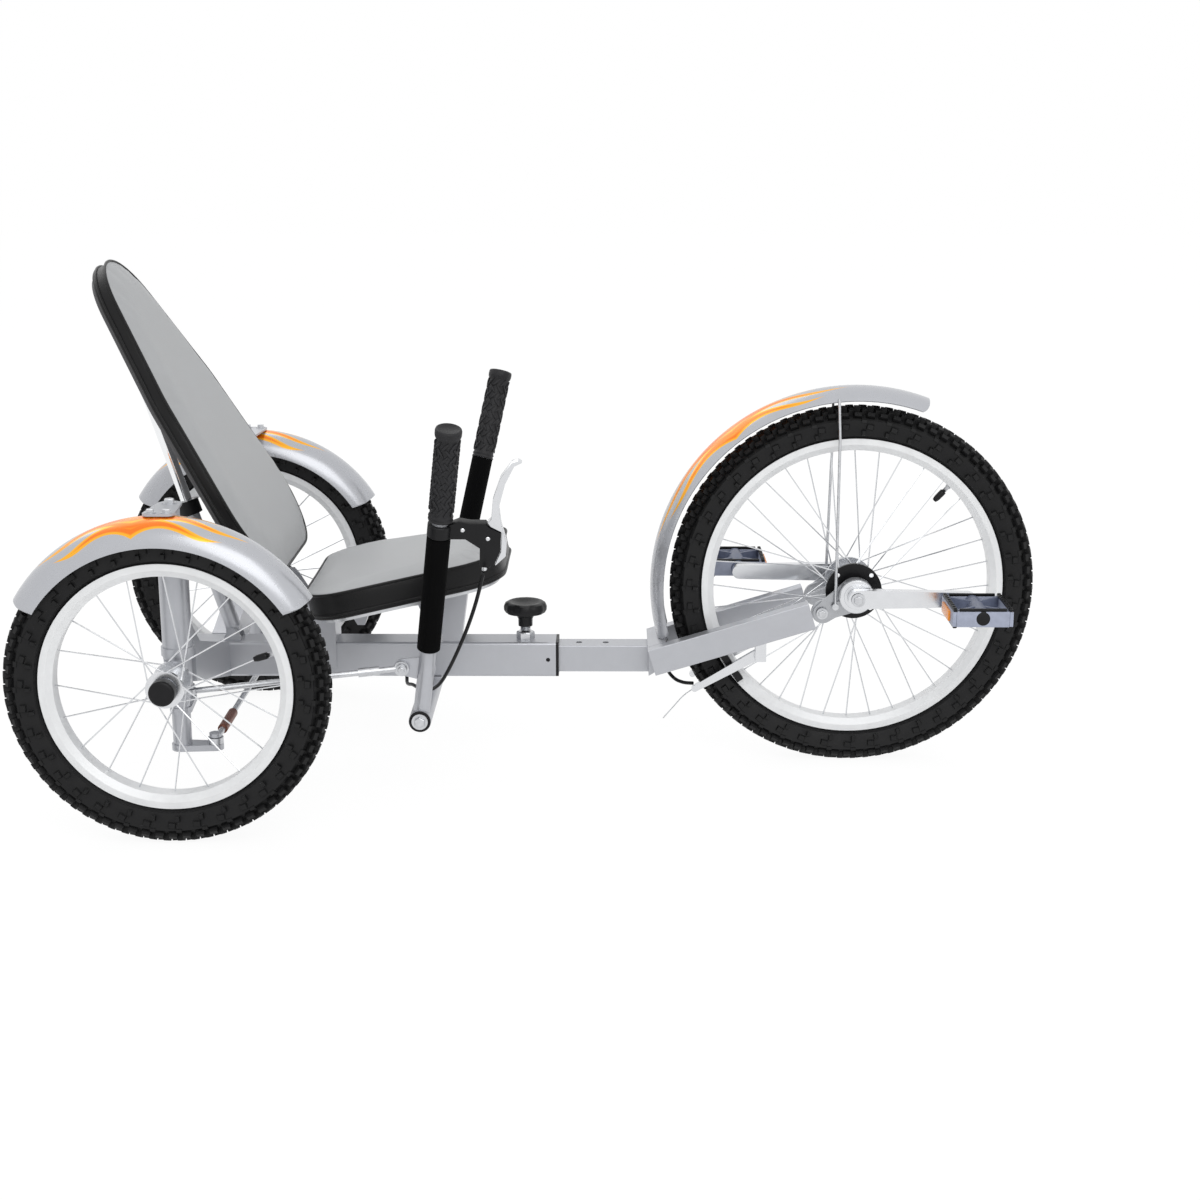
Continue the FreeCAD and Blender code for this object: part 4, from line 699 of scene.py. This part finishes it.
# Finishes: name, colour or its setting, roughness, drift, metal, cloud scale, grain (kind, scale, height), shine
FINISHES = {
    "silver": ("silver_paint", "silver", (0.31, 0.36), 0.02, 0.55, 60,
               ("Noise", 900, 0.00003), 0.5),
    "alloy": ("polished_alloy", (0.70, 0.71, 0.73), (0.18, 0.26), 0.03, 1.0, 60,
               ("Noise", 400, 0.00004), 0.5),
    "steel": ("zinc_steel", (0.58, 0.59, 0.61), (0.24, 0.42), 0.14, 1.0, 120,
               ("Noise", 700, 0.0001), 0.5),
    "plate": ("carrier_plate", (0.42, 0.43, 0.45), (0.26, 0.36), 0.06, 0.85, 80,
               ("Noise", 700, 0.00005), 0.5),
    "chrome": ("bright_chrome", (0.86, 0.87, 0.88), (0.05, 0.12), 0.03, 1.0, 50,
               ("Noise", 300, 0.00003), 0.5),
    "rim": ("rim_paint", "rim", (0.28, 0.40), 0.04, 0.1, 60,
               ("Noise", 600, 0.00005), 0.5),
    "black": ("black_plastic", (0.005, 0.005, 0.006), (0.30, 0.46), 0.25, 0.0, 80,
               ("Noise", 1500, 0.00012), 0.25),
    "rubber": ("tyre_rubber", "tyre", (0.48, 0.68), 0.35, 0.0, 70,
               ("Noise", 1200, 0.00025), 0.30),
    "foam": ("black_foam", (0.002, 0.002, 0.0022), (0.85, 0.95), 0.3, 0.0, 60,
               ("Voronoi", 1400, 0.0005), 0.08),
    "grip": ("grip_rubber", (0.020, 0.020, 0.022), (0.42, 0.60), 0.25, 0.0, 90,
               ("Voronoi", 900, 0.0003), 0.25),
    "face": ("pale_vinyl", "pad_face", (0.38, 0.52), 0.06, 0.0, 14,
               ("Voronoi", 650, 0.00035), 0.5),
    "side": ("black_vinyl", "pad_side", (0.30, 0.44), 0.2, 0.0, 20,
               ("Voronoi", 650, 0.00035), 0.25),
    "cage": ("pedal_body", (0.34, 0.37, 0.47), (0.34, 0.48), 0.1, 0.0, 90,
               ("Noise", 900, 0.0001), 0.5),
    "strut": ("pedal_struts", (0.13, 0.15, 0.22), (0.36, 0.50), 0.15, 0.0, 90,
               ("Noise", 900, 0.0001), 0.5),
    "board": ("back_board", (0.10, 0.10, 0.105), (0.50, 0.65), 0.15, 0.0, 30,
               ("Noise", 500, 0.0002), 0.5),
    "cable": ("cable_cover", (0.004, 0.004, 0.005), (0.32, 0.42), 0.2, 0.0, 200,
               ("Noise", 1800, 0.00005), 0.25),
    "amber": ("amber_reflector", (0.95, 0.30, 0.02), (0.10, 0.18), 0.1, 0.0, 200,
               ("Voronoi", 500, 0.0006), 0.5),
    "sleeve": ("adjusting_sleeve", (0.20, 0.075, 0.05), (0.32, 0.48), 0.2, 0.6, 150,
               ("Noise", 700, 0.0002), 0.5),
}


class Shop:
    """The finishes, made once and shared by the pieces."""
    made = {}


def materials():
    """Every finish by its name."""
    if Shop.made:
        return Shop.made
    hues = bpy.context.scene.trike_colours
    made = Shop.made
    for key, (name, base, rough, spread, metal, scale, (kind, fine, height), shine) in FINISHES.items():
        base = getattr(hues, base) if isinstance(base, str) else base
        made[key] = finish(name, base, rough, spread, metal, scale, grain=("ShaderNodeTex" + kind, fine, height),
                           Specular_IOR_Level=shine)
    return made


class TRIKE_OT_finish_nodes(bpy.types.Operator):
    """Give every carried-over CAD node its finish"""
    bl_idname = "trike.finish_nodes"
    bl_label = "Finish the frame"

    def execute(self, context):
        shop = materials()
        sets = {
            "silver": ["main_beam", "inner_beam", "fork_crown", "fork_arms", "lever_crossbar", "seat_supports",
                       "cross_arm_right", "cross_arm_left", "knuckle_right", "knuckle_left", "stay_tube",
                       "lever_tube_right", "lever_tube_left"],
            "plate": ["axle_carriers"],
            "alloy": ["front_hub", "rear_hub_right", "rear_hub_left", "crank_arms", "brake_arms"],
            "steel": ["seat_pan", "tie_rod", "drag_rod_right", "drag_rod_left", "fender_stays", "crank_spindle"],
            "chrome": ["stay_rod"],
            "rim": list(RIMS.values()),
            "black": ["beam_liner", "lock_knob", "stay_collar", "drive_disc", "brake_shoes", "brake_lever",
                      "pedal_right", "pedal_left", "lever_grip_right", "lever_grip_left"],
            "foam": ["lever_foam_right", "lever_foam_left"],
            "board": ["back_panel"],
        }
        for name, nodes in sets.items():
            for node in nodes:
                dress(node, shop[name])
        self.second_finishes(shop)
        return {"FINISHED"}

    def second_finishes(self, shop):
        """Second finishes on single faces of some nodes."""
        dress("tie_rod", shop["steel"], shop["sleeve"])
        dress_faces("tie_rod", 1, lambda at: -0.2202 < at.y < -0.1498)
        dress("drive_disc", shop["black"], shop["chrome"])
        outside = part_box("drive_disc")[0][1] + 0.0028
        dress_faces("drive_disc", 1, lambda at: at.y < outside)
        for side in SIDES:
            dress("rear_hub_" + side, shop["alloy"], shop["black"])
            dress_faces("rear_hub_" + side, 1, lambda at: abs(at.y) > 0.3522)


class TRIKE_OT_fenders(bpy.types.Operator):
    """Paint the three fenders silver with flames over their crowns"""
    bl_idname = "trike.fenders"
    bl_label = "Paint the fenders"

    def execute(self, context):
        hues = context.scene.trike_colours
        plan = {"front_fender": (FRONT_AXLE, 0.035, 128, (40, 36))}
        for side, sign in SIDES.items():
            centre = Vector((REAR_CROWN.x, sign * REAR_CROWN.y, REAR_CROWN.z))
            plan["rear_fender_" + side] = (centre, 0.038, 98, (38, 40))
        for node, (centre, half_width, root, reach) in plan.items():
            paint = finish("flame_paint_" + node, hues.silver, (0.25, 0.29), 0.015, 0.45, 40,
                           grain=("ShaderNodeTexNoise", 900, 0.00002), Coat_Weight=0.3, Coat_Roughness=0.1)
            add_flames(paint, centre, half_width, root, reach, hues.flame_core, hues.flame_edge)
            dress(node, paint)
        return {"FINISHED"}


class TRIKE_OT_tyres(bpy.types.Operator):
    """Build the three treaded tyres"""
    bl_idname = "trike.tyres"
    bl_label = "Build the tyres"

    def execute(self, context):
        for name in TYRES:
            make_tyre(name, context.scene.trike_sizes, materials()["rubber"])
        return {"FINISHED"}


class TRIKE_OT_valves(bpy.types.Operator):
    """Add a valve stem with its cap to each wheel"""
    bl_idname = "trike.valves"
    bl_label = "Add the valves"

    def execute(self, context):
        shop = materials()
        angles = {"front": 47, "rear_right": 17, "rear_left": 160}
        for name, angle in angles.items():
            make_valve(name, angle, shop["steel"], shop["black"])
        return {"FINISHED"}


class TRIKE_OT_pads(bpy.types.Operator):
    """Fill the seat and backrest pads and add their piping"""
    bl_idname = "trike.pads"
    bl_label = "Fill the pads"

    def execute(self, context):
        shop, sizes = materials(), context.scene.trike_sizes
        make_pad("back", "back_pad", BACK_FACE, BACK_WAY, BACK_DEPTH, sizes, shop["face"], shop["side"])
        make_pad("seat", "seat_pad", SEAT_FACE, SEAT_WAY, SEAT_DEPTH, sizes, shop["face"], shop["side"])
        return {"FINISHED"}


class TRIKE_OT_grips(bpy.types.Operator):
    """Build the ringed grips on both steering levers"""
    bl_idname = "trike.grips"
    bl_label = "Build the grips"

    def execute(self, context):
        for side in SIDES:
            make_grip(side, context.scene.trike_sizes, materials()["grip"])
        return {"FINISHED"}


class TRIKE_OT_small_parts(bpy.types.Operator):
    """Build the pedals, the lock's knob, the bearing covers and the rings at the levers' feet"""
    bl_idname = "trike.small_parts"
    bl_label = "Build the small parts"

    def execute(self, context):
        shop = materials()
        for side in SIDES:
            make_pedal(side, [shop["cage"], shop["black"], shop["strut"], shop["amber"]])
        make_knob([shop["black"], shop["steel"]])
        make_brake_lever(shop["black"], shop["alloy"])
        make_piece("brake_wire_end", tube_along(BRAKE_WIRE, 0.0008), "boom", [shop["steel"]])
        covers, rings = bmesh.new(), bmesh.new()
        for sign in SIDES.values():
            out = (0, sign, 0)
            turned(covers, [(0.0088, 0.0), (0.0222, 0.0), (0.0232, 0.0008), (0.0222, 0.0016), (0.0175, 0.0016),
                            (0.0170, 0.0028), (0.0120, 0.0030), (0.0088, 0.0030)],
                   aim((FRONT_AXLE.x, sign * BEARING_END, FRONT_AXLE.z), out), 48, 0)
            turned(rings, [(0.0078, 0.0), (0.0145, 0.0), (0.0145, 0.0008), (0.0138, 0.0014), (0.0078, 0.0014)],
                   aim((LEVER_FOOT.x, sign * FOOT_RING, LEVER_FOOT.z), out), 40, 0)
        for name, bm, body, slot, key in (("bearing_covers", covers, "boom", "alloy", "alloy"),
                                          ("foot_rings", rings, "frame", "black_plastic", "black")):
            bmesh.ops.recalc_face_normals(bm, faces=bm.faces)
            crease(make_piece(name, bm, body, [shop[key]]), 35)
        return {"FINISHED"}


class TRIKE_OT_cables(bpy.types.Operator):
    """Lay the brake cable from the lever to the beam"""
    bl_idname = "trike.cables"
    bl_label = "Lay the cables"

    def execute(self, context):
        shop, sizes = materials(), context.scene.trike_sizes
        bm = tube_along(BRAKE_CABLE, sizes.cable_radius)
        piece = make_piece("brake_cable_housing", bm, None, [shop["cable"]], ["brake_cable"])
        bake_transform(piece)
        dress("front_cable", shop["cable"])
        return {"FINISHED"}


class TRIKE_OT_fasteners(bpy.types.Operator):
    """Add the hexagon bolts"""
    bl_idname = "trike.fasteners"
    bl_label = "Add the bolts"

    def execute(self, context):
        steel = materials()["steel"]
        plan = {"boom": [], "frame": [], "cranks": []}
        for side, sign in SIDES.items():
            out = (0, sign, 0)
            plan["boom"].append(((0.3763, sign * 0.061, 0.2285), out, 0.0055, 0.0035))
            plan["frame"].append(((-0.172, sign * 0.186, 0.111), out, 0.0075, 0.004))
            plan["frame"].append(((-0.373, sign * 0.0355, 0.262), out, 0.0055, 0.004))
            plan["cranks"].append(((0.422, sign * 0.090, 0.255), out, 0.0065, 0.003))
            top = 0.4253
            plan["knuckle_" + side] = [((-0.472 + shift, sign * 0.325, top), (0, 0, 1), 0.005, 0.004)
                                       for shift in (-0.010, 0.010)]
            plan["knuckle_" + side].append(((-0.472, sign * 0.265, top), (0, 0, 1), 0.0065, 0.005))
            plan["drag_rod_" + side] = [((-0.1954, sign * 0.1823, 0.1825), out, 0.0048, 0.003)]
        for body, heads in plan.items():
            bm = bmesh.new()
            for place, way, radius, height in heads:
                hexagon_head(bm, place, way, radius, height)
            make_piece("bolts_" + body, bm, body, [steel], flat=True)
        return {"FINISHED"}


class TRIKE_OT_stage(bpy.types.Operator):
    """Set the floor, the lamps, the world and the camera"""
    bl_idname = "trike.stage"
    bl_label = "Set the stage"

    def execute(self, context):
        scene = context.scene
        scene.view_settings.view_transform = "Standard"
        self.lay_floor(scene)
        self.set_world(scene)
        for name, place, size, power in (("lamp_front", (0.9, -3.2, 2.8), 3.0, 60),
                                         ("lamp_back", (-1.8, 2.4, 3.2), 3.0, 30)):
            data = bpy.data.lights.new(name, "AREA")
            data.size = size
            data.energy = power
            lamp = bpy.data.objects.new(name, data)
            lamp.location = place
            lamp.rotation_euler = (Vector((0, 0, 0.3)) - Vector(place)).to_track_quat("-Z", "Y").to_euler()
            scene.collection.objects.link(lamp)
        data = bpy.data.cameras.new("photo_view")
        data.lens = 57.15
        data.sensor_width = 36
        camera = bpy.data.objects.new("photo_view", data)
        camera.location = (0.082, -2.613, 0.903)
        camera.rotation_euler = (math.radians(75.6), 0, math.radians(0.3))
        scene.collection.objects.link(camera)
        scene.camera = camera
        return {"FINISHED"}

    def seen(self, tree):
        """One where a ray comes from the camera, a reflection or a transmission."""
        path = tree.nodes.new("ShaderNodeLightPath")
        glossy = calc(tree, "MAXIMUM", path.outputs["Is Camera Ray"], path.outputs["Is Glossy Ray"])
        return calc(tree, "MAXIMUM", glossy, path.outputs["Is Transmission Ray"])

    def lay_floor(self, scene):
        """A plain pale floor that keeps a soft shadow."""
        bm = bmesh.new()
        bmesh.ops.create_grid(bm, x_segments=1, y_segments=1, size=12.0)
        mesh = bpy.data.meshes.new("floor")
        bm.to_mesh(mesh)
        bm.free()
        material = bpy.data.materials.new("pale_floor")
        material.use_nodes = True
        tree = material.node_tree
        tree.nodes.clear()
        matt = tree.nodes.new("ShaderNodeBsdfDiffuse")
        matt.inputs["Color"].default_value = (0.92, 0.92, 0.92, 1)
        glow = tree.nodes.new("ShaderNodeEmission")
        glow.inputs["Strength"].default_value = 1.05
        mix = tree.nodes.new("ShaderNodeMixShader")
        end = tree.nodes.new("ShaderNodeOutputMaterial")
        link(tree, calc(tree, "MULTIPLY", self.seen(tree), 0.88), mix.inputs["Fac"])
        link(tree, matt.outputs[0], mix.inputs[1])
        link(tree, glow.outputs[0], mix.inputs[2])
        link(tree, mix.outputs[0], end.inputs["Surface"])
        mesh.materials.append(material)
        floor = bpy.data.objects.new("floor", mesh)
        scene.collection.objects.link(floor)

    def set_world(self, scene):
        """A white surround that lights the tricycle at a plain level."""
        world = bpy.data.worlds.new("pale_room")
        world.use_nodes = True
        scene.world = world
        tree = world.node_tree
        back = tree.nodes["Background"]
        back.inputs["Color"].default_value = (1, 1, 1, 1)
        level = calc(tree, "MULTIPLY_ADD", self.seen(tree), 0.30, 0.70)
        link(tree, level, back.inputs["Strength"])


class TRIKE_PT_panel(bpy.types.Panel):
    """The tricycle's settings and operators in the sidebar"""
    bl_idname = "TRIKE_PT_panel"
    bl_label = "Recumbent tricycle"
    bl_space_type = "VIEW_3D"
    bl_region_type = "UI"
    bl_category = "Tricycle"

    def draw(self, context):
        for group in (context.scene.trike_sizes, context.scene.trike_colours):
            for name in group.__annotations__:
                self.layout.prop(group, name)
        for operator in OPERATORS:
            self.layout.operator(operator.bl_idname)


GROUPS = (TrikeSizes, TrikeColours)
OPERATORS = (TRIKE_OT_finish_nodes, TRIKE_OT_fenders, TRIKE_OT_tyres, TRIKE_OT_valves, TRIKE_OT_pads,
              TRIKE_OT_grips, TRIKE_OT_small_parts, TRIKE_OT_cables, TRIKE_OT_fasteners, TRIKE_OT_stage)


def register():
    """Registers the classes and their settings."""
    for item in GROUPS + OPERATORS + (TRIKE_PT_panel,):
        bpy.utils.register_class(item)
    bpy.types.Scene.trike_sizes = PointerProperty(type=TrikeSizes)
    bpy.types.Scene.trike_colours = PointerProperty(type=TrikeColours)


def unregister():
    """Removes the settings and the classes."""
    del bpy.types.Scene.trike_colours
    del bpy.types.Scene.trike_sizes
    for item in reversed(GROUPS + OPERATORS + (TRIKE_PT_panel,)):
        bpy.utils.unregister_class(item)


def main():
    """Dresses the tricycle."""
    register()
    bpy.ops.trike.finish_nodes()
    bpy.ops.trike.fenders()
    bpy.ops.trike.tyres()
    bpy.ops.trike.valves()
    bpy.ops.trike.pads()
    bpy.ops.trike.grips()
    bpy.ops.trike.small_parts()
    bpy.ops.trike.cables()
    bpy.ops.trike.fasteners()
    bpy.ops.trike.stage()


if __name__ == "__main__":
    main()
